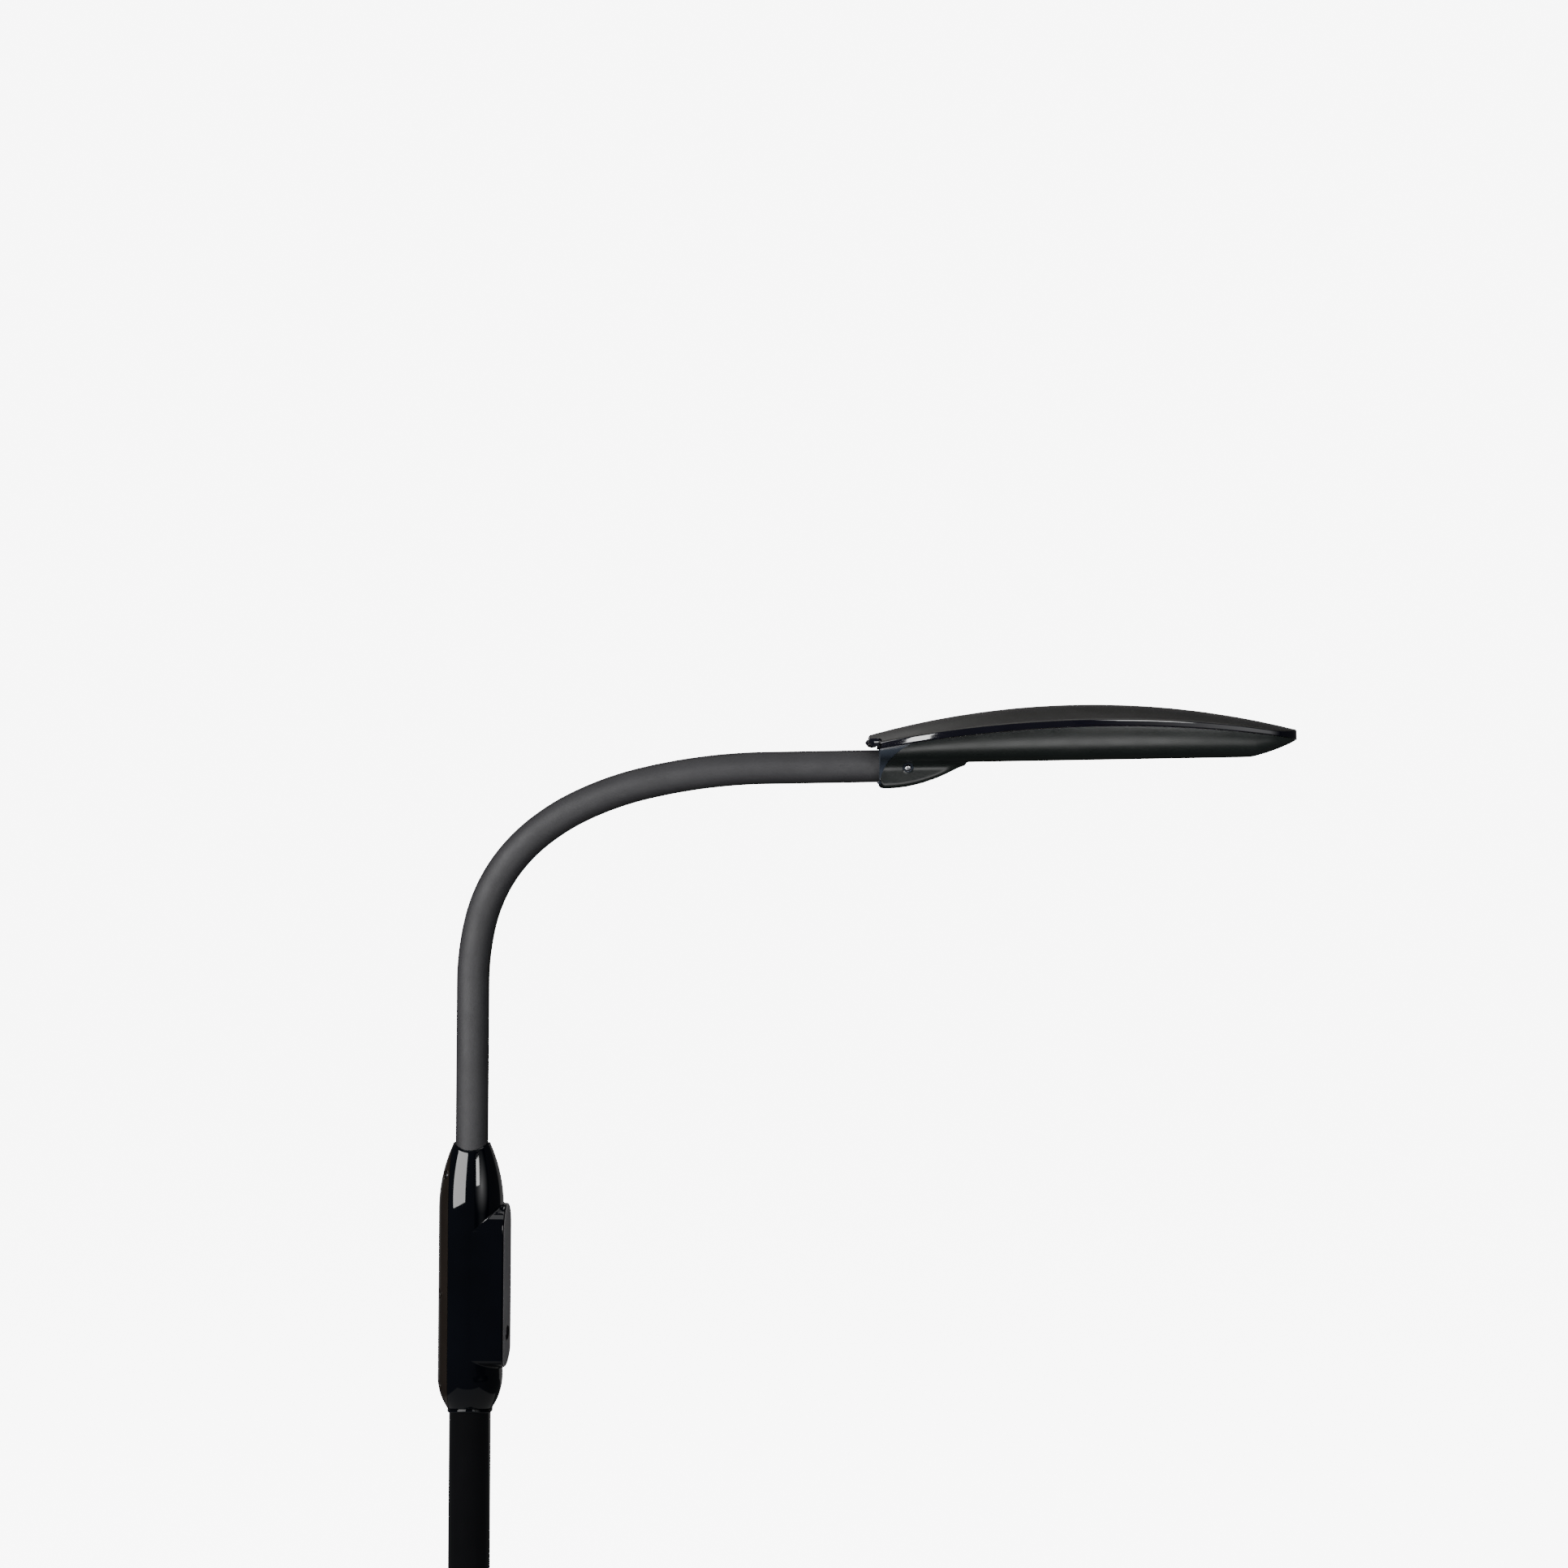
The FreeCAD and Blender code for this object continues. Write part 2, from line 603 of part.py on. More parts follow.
    board = new_body("ballast_board")
    extrude(board, "YZ_Plane", rectangle(-17, 733, 17, 785), 1.6, symmetric=False)
    keep("ballast_board", board, FreeCAD.Placement(Vector(1, 0, 0), Rotation()))
    parts_face = 2.6
    choke_core = box("choke", (parts_face, -9, 738), (parts_face + 16, 9, 758))
    choke_coil = box("choke", (parts_face + 2, -11, 741), (parts_face + 13, 11, 755))
    keep("ballast_choke", fuse("choke", choke_core, choke_coil))
    keep("ballast_capacitors", group("capacitors", [
        rod("capacitor", 5.5, 20, (parts_face + 6, side * 7, 762)) for side in (-1, 1)]))
    terminal_wells = [rod("terminal_well", 1.4, 2, (-13, side * 4, 736), "X") for side in (-1, 1)]
    terminal_block = box("terminal_block", (-13, -8, 731), (-3, 8, 741))
    keep("wire_terminals", cut("terminals", terminal_block, *terminal_wells))

    socket = new_body("neck_socket")
    revolve(socket, [(5, d.neck_start - 4), (22.2, d.neck_start - 4), (22.2, d.neck_start - 1),
                     (d.core_radius + 2.1, d.neck_start - 1), (d.core_radius + 2.1, 834),
                     (d.core_radius + 0.1, 834), (d.core_radius + 0.1, d.neck_start), (5, d.neck_start)])
    keep("neck_socket", socket)


# ---------------------------------------------------------------- neck

def bend_lengths():
    """Lengths of the neck's arcs, which all turn by the same angle along a superellipse."""
    reach, rise, power = d.bend_reach.value, d.bend_rise.value, d.bend_power.value
    turn = math.radians(d.bend_turn.value) / BENDS
    points = []
    for index in range(BENDS + 1):
        heading = turn * index
        around = math.atan((math.tan(heading) * rise / reach) ** (1 / (2 - 2 / power)))
        points.append((reach * (1 - math.cos(around) ** (2 / power)), rise * math.sin(around) ** (2 / power)))
    chords = [math.dist(first, second) for first, second in zip(points, points[1:])]
    return [chord * (turn / 2) / math.sin(turn / 2) for chord in chords]


class Centreline:
    """The neck's centre line in the XZ plane: straight up, the equal turns, then straight to the head.

    A place along it is given by its distance, which on the upright stretch is the height above the floor."""

    def __init__(self):
        turn = math.radians(d.bend_turn.value) / BENDS
        start = d.neck_start.value
        rise = d.bend_start.value - start
        self.pieces = [(start, 0.0, start, 0.0, 0.0, rise)]
        self.middles = []
        along, x, z, heading = start + rise, 0.0, start + rise, 0.0
        for length in bend_lengths():
            bend = turn / length
            self.pieces.append((along, x, z, heading, bend, length))
            self.middles.append(along + length / 2)
            x += (math.cos(heading) - math.cos(heading + turn)) / bend
            z += (math.sin(heading + turn) - math.sin(heading)) / bend
            heading += turn
            along += length
        tail = (d.neck_end.value - x) / math.sin(heading)
        self.pieces.append((along, x, z, heading, 0.0, tail + 60))
        self.end = along + tail

    def at(self, distance):
        """The point and heading (from +Z towards +X, in radians) at a distance along the line."""
        for along, x, z, heading, bend, length in self.pieces:
            step = distance - along
            if step <= length:
                break
        if bend:
            turned = heading + bend * step
            return (x + (math.cos(heading) - math.cos(turned)) / bend,
                    z + (math.sin(turned) - math.sin(heading)) / bend, turned)
        return x + math.sin(heading) * step, z + math.cos(heading) * step, heading

    def frame(self, distance):
        """Placement whose Z runs along the line at a distance along it."""
        x, z, heading = self.at(distance)
        return FreeCAD.Placement(Vector(x, 0, z), Rotation(Y_AXIS, math.degrees(heading)))

    def edges(self, low, high, origin):
        """Edges of the line between two distances, in the XZ plane of the frame at a third."""
        back = self.frame(origin).inverse()

        def local(distance):
            x, z, _ = self.at(distance)
            point = back.multVec(Vector(x, 0, z))
            return Vector(point.x, point.z, 0)

        edges = []
        for along, _, _, _, bend, length in self.pieces:
            start, stop = max(low, along), min(high, along + length)
            if stop - start < 0.001:
                continue
            if bend:
                middle = local((start + stop) / 2)
                edges.append(Part.Arc(local(start), middle, local(stop)))
            else:
                edges.append(Part.LineSegment(local(start), local(stop)))
        return edges


line = Centreline()


def make_link(label, start, stop, outer, inner, start_plane=None, stop_plane=None):
    """One rigid length of the neck. An end on a hinge is cut round about the hinge's axis: a hollow cup
    where the link starts, a round ball end where the next one begins. Planes name the plane that the hinge
    turns in.
    """
    body = new_body(label)
    high = stop + (ARC_OVERRUN if stop_plane else 0)
    path = sketch_on(body, "XZ_Plane", "path")
    edges = line.edges(start, high, start)
    for edge in edges:
        path.addGeometry(edge)
    section = sketch_on(body, "XY_Plane", "section")
    draw_circle(section, outer)
    draw_circle(section, inner)
    pipe = body.newObject("PartDesign::AdditivePipe", f"{label}_pipe")
    pipe.Profile = section
    pipe.Spine = (path, [f"Edge{number}" for number in range(1, len(edges) + 1)])
    across = 60
    if start_plane:
        bore(body, start_plane, d.cup_radius, across)
    if stop_plane:
        relative = line.frame(start).inverse().multiply(line.frame(stop))
        heading = relative.Rotation.toEuler()[1] if stop_plane == "XZ_Plane" else 0
        centre = Vector(relative.Base.x, relative.Base.z, 0)
        turn = Rotation(Z_AXIS, -heading)
        ball = d.ball_radius.value

        def local(x, y):
            point = centre + turn.multVec(Vector(x, y, 0))
            return point.x, point.y

        side, top = 24, 24
        trim = sketch_on(body, stop_plane, "trim")
        draw(trim, [local(-side, 0), local(-ball, 0), (*local(0, ball), ball, -1),
                    (*local(ball, 0), ball, -1), local(side, 0), local(side, top), local(-side, top)])
        trim_cut = body.newObject("PartDesign::Pocket", f"{label}_trim")
        trim_cut.Profile = trim
        trim_cut.Length = across
        trim_cut.Midplane = True
    keep(label, body, line.frame(start))


def make_neck():
    """Two hinges in the upright stretch let the neck sway, and one in the middle of each arc lets it bend."""
    hinges = [(d.sway_low.value, "YZ_Plane"), (d.sway_high.value, "YZ_Plane")]
    hinges += [(middle, "XZ_Plane") for middle in line.middles]
    for kind, outer, inner, low, high in (
            ("sleeve", d.neck_radius, d.sleeve_bore, d.sleeve_start.value, line.end + 7),
            ("core", d.core_radius, d.lead_bore, d.neck_start.value, line.end + 20)):
        marks = [(low, None)] + hinges + [(high, None)]
        for number, (first, second) in enumerate(zip(marks, marks[1:])):
            make_link(f"neck_{kind}_{number}", first[0], second[0], outer, inner, first[1], second[1])


def make_head_lead():
    """Lead from the terminals up through the neck to the lampholder, straight runs joined by tangent arcs."""
    lead = new_body("head_lead")
    aside, low, bend_low, bend_high = -8.0, 741.0, 775.0, 803.0
    shift = -aside
    run = bend_high - bend_low
    turn = 2 * math.atan(shift / run)
    radius = run / (2 * math.sin(turn))
    path = sketch_on(lead, "XZ_Plane", "path")

    def on_arc(centre_x, centre_y, angle):
        return Vector(centre_x + radius * math.cos(angle), centre_y + radius * math.sin(angle), 0)

    path.addGeometry(Part.LineSegment(Vector(aside, low, 0), Vector(aside, bend_low, 0)))
    first = [on_arc(aside + radius, bend_low, math.pi - turn * part) for part in (0, 0.5, 1)]
    path.addGeometry(Part.Arc(*first))
    second = [on_arc(-radius, bend_high, -turn * (1 - part)) for part in (0, 0.5, 1)]
    path.addGeometry(Part.Arc(*second))
    path.addGeometry(Part.LineSegment(second[2], Vector(0, d.neck_start.value, 0)))
    for edge in line.edges(d.neck_start.value, line.end + 45, d.neck_start.value):
        edge.translate(Vector(0, d.neck_start.value, 0))
        path.addGeometry(edge)
    section = sketch_on(lead, "XY_Plane", "section")
    section.AttachmentOffset = FreeCAD.Placement(Vector(0, 0, low), Rotation())
    draw_circle(section, d.head_lead_radius, aside, 0)
    pipe = lead.newObject("PartDesign::AdditivePipe", "head_lead_pipe")
    pipe.Profile = section
    pipe.Spine = (path, [f"Edge{number}" for number in range(1, path.GeometryCount + 1)])
    keep("head_lead", lead)


# ---------------------------------------------------------------- head

def head_plan(inset, rear):
    """Plan of the head: two long side arcs, a nose arc tangent to both and a straight rear edge."""
    side = d.head_side_arc
    reach = d.head_length - d.head_middle
    centre = side - d.head_half_width
    nose = (side * side - centre * centre - reach * reach) / ((side - reach) * 2)
    nose_along = d.head_length - nose
    sine = (nose_along - d.head_middle) / (side - nose)
    cosine = root(1 - sine * sine)
    tangent_along = nose_along + (nose - inset) * sine
    tangent_across = (nose - inset) * cosine
    behind = d.head_middle - rear
    rear_across = root((side - inset) * (side - inset) - behind * behind) - centre
    return [(rear, -rear_across), (tangent_along, -tangent_across, side - inset, 1),
            (tangent_along, tangent_across, nose - inset, 1), (rear, rear_across, side - inset, 1)]


def dome(name, inset):
    """The cover's crown: an arc along the head, turned about a level axis below it."""
    radius = d.dome_arc - inset
    centre_height = d.dome_top - d.dome_arc
    axis_height = (d.dome_top - d.dome_across).value
    start, stop = -10, 330

    def height(along):
        return centre_height + root(radius * radius - (d.dome_centre - along) * (d.dome_centre - along))

    corners = [(start, axis_height), (stop, axis_height), (stop, height(stop)),
               (start, height(start), radius, 1)]
    return lathe(name, corners, X_AXIS, Vector(0, 0, axis_height))


def seam(name, gap):
    """Everything below the arched seam between cover and tray."""
    radius = d.seam_arc - gap
    return rod(name, radius, 200, (d.seam_centre, -100, d.seam_top - d.seam_arc), "Y")


def cheek_outline(inset):
    """Side view of the knuckle round the neck's end: round rear corner, then an arc up to the floor."""
    bottom = -d.cheek_bottom + inset
    corner = 4 - inset.value * 0.5
    rise = d.tray_floor + d.cheek_bottom
    run = root(d.cheek_arc * d.cheek_arc - (d.cheek_arc - rise) * (d.cheek_arc - rise))
    return [(inset, 8), (inset, bottom + corner), (inset + corner, bottom, corner, 1),
            (d.cheek_end - run, bottom), (d.cheek_end - inset, d.tray_floor, d.cheek_arc - inset, 1),
            (d.cheek_end - inset, 8)]


def tub(name, inset, rear, floor):
    """The tray's hull: the head's plan with a rounded bottom edge and an undercut nose."""
    raw = prism(name, head_plan(inset, rear), floor, 60)
    low = Size.of(floor).value
    bottom = rounded(name, raw, lambda edge: edge.BoundBox.ZMax < low + 0.01,
                     d.tray_round - inset + d.tray_inset)
    lift = Size.of(floor) - d.tray_floor
    far = d.head_length + 20
    under = slab(f"{name}_nose", [
        (d.nose_cut, d.tray_floor + lift), (d.nose_cut, -30), (far, -30),
        (far, d.tray_floor + lift + (far - d.nose_cut) * d.nose_slope)], 80)
    return cut(name, bottom, under)


def stadium(name, start, stop, radius, low, high):
    """A flat bar with round ends along the head."""
    start, stop, radius = Size.of(start), Size.of(stop), Size.of(radius)
    middle = box(name, (start + radius, -radius, low), (stop - radius, radius, high))
    ends = [rod(name, radius, Size.of(high) - low, (along, 0, low))
            for along in (start + radius, stop - radius)]
    return fuse(name, middle, *ends)


TRAY_SCREWS = ((78, -24), (78, 24), (281, 0))


def make_head(frame):
    crown = dome("crown", Size.of(0))
    crown_hollow = dome("crown_hollow", d.shell_wall)
    blank = prism("cover_blank", head_plan(Size.of(0), -d.lip_reach), -20, 80)
    hollow_plan = prism("cover_hollow_plan", head_plan(d.shell_wall, d.shell_wall), -20, 80)
    under_lip = box("under_lip", (-20, -80, -40), (0, 80, d.lip_height))
    hollow = common("cover_hollow", crown_hollow, hollow_plan)
    boss_bars = [rod("cover_boss", 3.5, 60, (along, across, d.tray_floor + 2.8))
                 for along, across in TRAY_SCREWS]
    bosses = common("boss_crown", dome("boss_limit", Size.of(0.5)), fuse("boss_bars", *boss_bars))
    pilot = [rod("pilot", 1.5, 11, (along, across, d.tray_floor + 2)) for along, across in TRAY_SCREWS]
    shell = cut("cover_shell", common("cover_solid", crown, blank), seam("seam_cover", Size.of(0)),
                under_lip, hollow)
    keep("head_cover", cut("cover_drilled", fuse("cover", shell, bosses), *pilot), frame)

    wall = d.shell_wall
    outside = fuse("tray_outside", tub("tray", d.tray_inset, Size.of(0), d.tray_floor),
                   slab("cheeks", cheek_outline(Size.of(0)), d.cheek_half_width))
    inside = [tub("tray_hollow", d.tray_inset + wall, wall, d.tray_floor + wall),
              slab("cheeks_hollow", cheek_outline(wall), d.cheek_half_width - wall)]
    above_seam = cut("above_seam", box("above", (-40, -90, -30), (400, 90, 120)),
                     seam("seam_tray", d.seam_gap))
    neck_hole = [rod("tray_neck_hole", d.neck_radius + 0.8, 20, (-10, 0, 0), "X"),
                 box("tray_neck_slot", (-10, -d.neck_radius - 0.8, 0),
                     (wall + 0.1, d.neck_radius + 0.8, 30))]
    cheek_holes = [rod("cheek_hole", 2.65, 60, (d.cheek_screw_along, -30, d.cheek_screw_up), "Y")]
    floor_holes = []
    for along, across in TRAY_SCREWS:
        floor_holes.append(rod("tray_hole", 1.6, 10, (along, across, d.tray_floor - 2)))
        floor_holes.append(rod("tray_counterbore", 3.2, 3.5, (along, across, d.tray_floor - 2)))
    opening = stadium("opening", d.opening_start, d.opening_end, d.opening_radius, -10, d.tray_floor + 5)
    tray = cut("tray", outside, *inside, above_seam, *neck_hole, *cheek_holes, *floor_holes, opening)
    keep("head_tray", tray, frame)

    screws = []
    for along, across in TRAY_SCREWS:
        head = rod("tray_screw", 3, 1.2, (along, across, d.tray_floor + 0.2))
        shank = rod("tray_screw", 1.5, 12, (along, across, d.tray_floor + 0.6))
        screws.append(fuse("tray_screw", head, shank))
    keep("tray_screws", group("tray_screws", screws), frame)

    glass_floor = d.tray_floor + wall
    ledge = 2.2
    keep("diffuser", stadium("diffuser", d.opening_start - ledge, d.opening_end + ledge,
                             d.opening_radius + ledge, glass_floor + 0.05, glass_floor + 2), frame)

    # Reflector: a bent sheet trough over the lamp.
    reflector = new_body("reflector")
    sheet_metal = 0.8
    foot, brow, low, high = 24, 19.5, 8, 29.8
    under = high - sheet_metal
    extrude(reflector, "YZ_Plane", [(-foot, low), (-foot + sheet_metal, low), (-brow + sheet_metal, under),
                                    (brow - sheet_metal, under), (foot - sheet_metal, low), (foot, low),
                                    (brow, high), (-brow, high)], 170, symmetric=False)
    keep("reflector", reflector, frame.multiply(FreeCAD.Placement(Vector(88, 0, 0), Rotation())))

    lamp = []
    for side in (-1, 1):
        across = d.tube_offset * side
        lamp.append(rod("tube", d.tube_radius, 164, (84, across, d.tube_height), "X"))
        tip = doc.addObject("Part::Sphere", unique("tube_tip"))
        bind(tip, "Radius", d.tube_radius)
        place(tip, (248, across, d.tube_height))
        lamp.append(tip)
    lamp.append(rod("tube_bridge", 4, d.tube_offset * 2, (242, -d.tube_offset, d.tube_height), "Y"))
    keep("lamp_tubes", fuse("lamp_tubes", *lamp), frame)

    cap = box("lamp_cap", (63, -18, 11), (84, 18, 27))
    cap_round = rounded("lamp_cap", cap, lambda edge: edge.Length > 20.5 and edge.Length < 21.5, 4)
    keep("lamp_cap", cap_round, frame)
    holder_base = box("lampholder", (50, -17, 8), (63, 17, 30))
    holder_foot = box("lampholder", (44, -10, 24), (50, 10, 28))
    keep("lampholder", fuse("lampholder", holder_base, holder_foot), frame)

    clip = new_body("lamp_clip")
    extrude(clip, "YZ_Plane", [(-18.4, 12), (-17.8, 12), (-17.8, 28.2), (17.8, 28.2), (17.8, 12), (18.4, 12),
                               (18.4, 28.8), (-18.4, 28.8)], 8, symmetric=False)
    keep("lamp_clip", clip, frame.multiply(FreeCAD.Placement(Vector(226, 0, 0), Rotation())))

    fitting = new_body("neck_end_fitting")
    revolve(fitting, [(7.5, d.core_radius + 0.1), (7.5, 12.8), (8, 13.3), (22, 13.3), (22, 5), (20, 5),
                      (20, d.core_radius + 0.1)], axis="H_Axis")
    keep("neck_end_fitting", fitting, frame)

    bracket = new_body("head_bracket")
    leg, thick = 18.4, 1.5
    legs = [(-leg, -9), (-leg + thick, -9), (-leg + thick, 14.6), (leg - thick, 14.6), (leg - thick, -9),
            (leg, -9), (leg, 16.1), (-leg, 16.1)]
    extrude(bracket, "YZ_Plane", legs, 28, symmetric=False)
    bore(bracket, "XZ_Plane", 1.5, 60, d.cheek_screw_along - 8, d.cheek_screw_up)
    keep("head_bracket", bracket, frame.multiply(FreeCAD.Placement(Vector(8, 0, 0), Rotation())))

    cheek_screws = []
    for side in (-1, 1):
        head_low = 18.9 if side > 0 else -20.4
        shank_low = 14.6 if side > 0 else -18.95
        at = (d.cheek_screw_along, head_low, d.cheek_screw_up)
        head = rod("cheek_screw", 2.4, 1.5, at, "Y")
        shank = rod("cheek_screw", 1.5, 4.35, (d.cheek_screw_along, shank_low, d.cheek_screw_up), "Y")
        cheek_screws.append(fuse("cheek_screw", head, shank))
    keep("cheek_screws", group("cheek_screws", cheek_screws), frame)


# ---------------------------------------------------------------- build, check and write

make_base()
make_pole()
make_housing()
make_neck()
make_head_lead()
end_x, end_z, end_heading = line.at(line.end)
head_frame = FreeCAD.Placement(Vector(end_x, 0, end_z), Rotation(Y_AXIS, math.degrees(end_heading) - 90))
make_head(head_frame)
doc.recompute()

faults = [obj.Name for obj in doc.Objects if "Invalid" in obj.State or "Error" in obj.State]
faults += [label for label, obj in nodes.items() if obj.Shape.isNull() or not obj.Shape.isValid()]
if faults:
    raise RuntimeError(f"failed objects: {faults}")

os.makedirs("parts", exist_ok=True)
for label, obj in nodes.items():
    obj.Shape.exportStep(f"parts/{label}.step")
    print(f"{label:20s} solids {len(obj.Shape.Solids)}  volume {obj.Shape.Volume:12.1f}")
print(len(nodes), "sub-parts; neck end", round(end_x, 2), round(end_z, 2), "hinges",
      [[round(value, 3) for value in line.at(middle)] for middle in line.middles])
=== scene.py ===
"""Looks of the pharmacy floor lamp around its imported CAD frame. Lengths in the text are millimetres."""

import json
import math

import bmesh
import bpy
import numpy as np
from mathutils import Matrix, Vector


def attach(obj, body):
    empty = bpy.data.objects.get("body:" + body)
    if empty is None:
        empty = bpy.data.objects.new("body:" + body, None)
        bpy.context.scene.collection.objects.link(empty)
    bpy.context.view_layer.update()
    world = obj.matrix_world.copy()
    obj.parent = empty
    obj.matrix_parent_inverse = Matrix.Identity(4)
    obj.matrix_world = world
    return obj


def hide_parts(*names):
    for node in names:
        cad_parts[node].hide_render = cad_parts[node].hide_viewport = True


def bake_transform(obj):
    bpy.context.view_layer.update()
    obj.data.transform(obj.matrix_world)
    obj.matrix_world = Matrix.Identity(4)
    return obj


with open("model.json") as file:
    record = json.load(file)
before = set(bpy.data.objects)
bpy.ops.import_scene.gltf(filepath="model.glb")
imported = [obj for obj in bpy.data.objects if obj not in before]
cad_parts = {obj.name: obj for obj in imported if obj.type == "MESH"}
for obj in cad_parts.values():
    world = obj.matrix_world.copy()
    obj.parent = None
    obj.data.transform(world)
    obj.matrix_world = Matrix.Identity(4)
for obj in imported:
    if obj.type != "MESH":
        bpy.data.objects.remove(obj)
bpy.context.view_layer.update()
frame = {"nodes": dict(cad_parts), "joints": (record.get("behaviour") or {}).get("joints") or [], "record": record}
MM = 0.001

# -------- centre line of the neck and the head's frame

BENDS = 7
BEND_TURN = math.radians(88.6)
BEND_REACH, BEND_RISE, BEND_POWER = 252.0, 165.0, 2.5
BEND_START = 989.0
NECK_END = 310.6
NECK_RADIUS = 12.5



def bend_lengths():
    """Lengths of the neck's bent pieces, each as long as its share of the curve."""
    turn = BEND_TURN / BENDS
    points = []
    for index in range(BENDS + 1):
        angle = math.atan((math.tan(turn * index) * BEND_RISE / BEND_REACH) ** (1 / (2 - 2 / BEND_POWER)))
        points.append((BEND_REACH * (1 - math.cos(angle) ** (2 / BEND_POWER)),
                       BEND_RISE * math.sin(angle) ** (2 / BEND_POWER)))
    chords = [math.dist(a, b) for a, b in zip(points, points[1:])]
    return [chord * (turn / 2) / math.sin(turn / 2) for chord in chords]


def centreline():
    """Pieces of the centre line: (start along it, x, z, heading, bend, length). Along is the height at first."""
    turn = BEND_TURN / BENDS
    pieces = [(0.0, 0.0, 0.0, 0.0, 0.0, BEND_START)]
    along, x, z, heading = BEND_START, 0.0, BEND_START, 0.0
    for length in bend_lengths():
        bend = turn / length
        pieces.append((along, x, z, heading, bend, length))
        x += (math.cos(heading) - math.cos(heading + turn)) / bend
        z += (math.sin(heading + turn) - math.sin(heading)) / bend
        heading += turn
        along += length
    tail = (NECK_END - x) / math.sin(heading)
    pieces.append((along, x, z, heading, 0.0, tail + 60))
    return pieces, along + tail


LINE, LINE_END = centreline()


def on_line(distance):
    """Point (x, z) and heading at a distance along the centre line."""
    for along, x, z, heading, bend, length in LINE:
        step = distance - along
        if step <= length:
            break
    if bend:
        turned = heading + bend * step
        return x + (math.cos(heading) - math.cos(turned)) / bend, \
            z + (math.sin(turned) - math.sin(heading)) / bend, turned
    return x + math.sin(heading) * step, z + math.cos(heading) * step, heading


END_X, END_Z, END_HEADING = on_line(LINE_END)
HEAD = Matrix.Translation((END_X * MM, 0, END_Z * MM)) @ Matrix.Rotation(END_HEADING - math.pi / 2, 4, "Y")

# -------- materials


GRAIN_DEPTH = 0.0002
DRIFT_LOW, DRIFT_HIGH = 0.3, 0.7
WEAR_LOW, WEAR_HIGH = 0.52, 0.62
SMEAR_SCALE = 1.7


def empty_material(name):
    """A material without nodes, and the lists of its nodes and links."""
    material = bpy.data.materials.new(name)
    material.use_nodes = True
    nodes, links = material.node_tree.nodes, material.node_tree.links
    nodes.clear()
    return material, nodes, links


def fill(node, values):
    """Set a node's inputs by name."""
    for socket, value in values.items():
        node.inputs[socket].default_value = value


def node_material(name, colour, rough, *, vary=0.15, vary_scale=30.0, grain=0.02, grain_scale=900.0,
                  rough_vary=0.06, metallic=0.0, coat=0.0, coat_rough=0.05, wear=0.0, specular=0.5, glow=0.0):
    """A procedural surface: colour that drifts, roughness that drifts, fine grain in the bump, and worn edges."""
    material, nodes, links = empty_material(name)
    out = nodes.new("ShaderNodeOutputMaterial")
    shader = nodes.new("ShaderNodeBsdfPrincipled")
    where = nodes.new("ShaderNodeTexCoord")
    links.new(shader.outputs["BSDF"], out.inputs["Surface"])
    fill(shader, {"Metallic": metallic, "Specular IOR Level": specular, "Coat Weight": coat,
                  "Coat Roughness": coat_rough})
    if glow:
        fill(shader, {"Emission Color": (1, 1, 1, 1), "Emission Strength": glow})

    def noise(scale, detail):
        made = nodes.new("ShaderNodeTexNoise")
        fill(made, {"Scale": scale, "Detail": detail})
        links.new(where.outputs["Object"], made.inputs["Vector"])
        return made.outputs["Fac"]

    def ramp(fac, low, high):
        made = nodes.new("ShaderNodeValToRGB")
        made.color_ramp.elements[0].position = low
        made.color_ramp.elements[1].position = high
        links.new(fac, made.inputs["Fac"])
        return made

    drift = ramp(noise(vary_scale, 4), DRIFT_LOW, DRIFT_HIGH)
    drift.color_ramp.elements[0].color = (*[max(0.0, c * (1 - vary)) for c in colour], 1)
    drift.color_ramp.elements[1].color = (*[min(1.0, c * (1 + vary)) for c in colour], 1)
    colour_out = drift.outputs["Color"]
    if wear:
        geometry = nodes.new("ShaderNodeNewGeometry")
        edge = ramp(geometry.outputs["Pointiness"], WEAR_LOW, WEAR_HIGH)
        amount = nodes.new("ShaderNodeMath")
        amount.operation = "MULTIPLY"
        amount.inputs[1].default_value = wear
        links.new(edge.outputs["Color"], amount.inputs[0])
        mix = nodes.new("ShaderNodeMix")
        mix.data_type = "RGBA"
        mix.inputs["B"].default_value = (*[min(1.0, c * 2 + 0.03) for c in colour], 1)
        links.new(amount.outputs["Value"], mix.inputs["Factor"])
        links.new(colour_out, mix.inputs["A"])
        colour_out = mix.outputs["Result"]
    links.new(colour_out, shader.inputs["Base Color"])

    span = nodes.new("ShaderNodeMapRange")
    fill(span, {"From Min": DRIFT_LOW, "From Max": DRIFT_HIGH, "To Min": max(0.0, rough - rough_vary),
                "To Max": min(1.0, rough + rough_vary)})
    links.new(noise(vary_scale * SMEAR_SCALE, 6), span.inputs["Value"])
    links.new(span.outputs["Result"], shader.inputs["Roughness"])

    bump = nodes.new("ShaderNodeBump")
    fill(bump, {"Strength": grain, "Distance": GRAIN_DEPTH})
    links.new(noise(grain_scale, 3), bump.inputs["Height"])
    links.new(bump.outputs["Normal"], shader.inputs["Normal"])
    return material


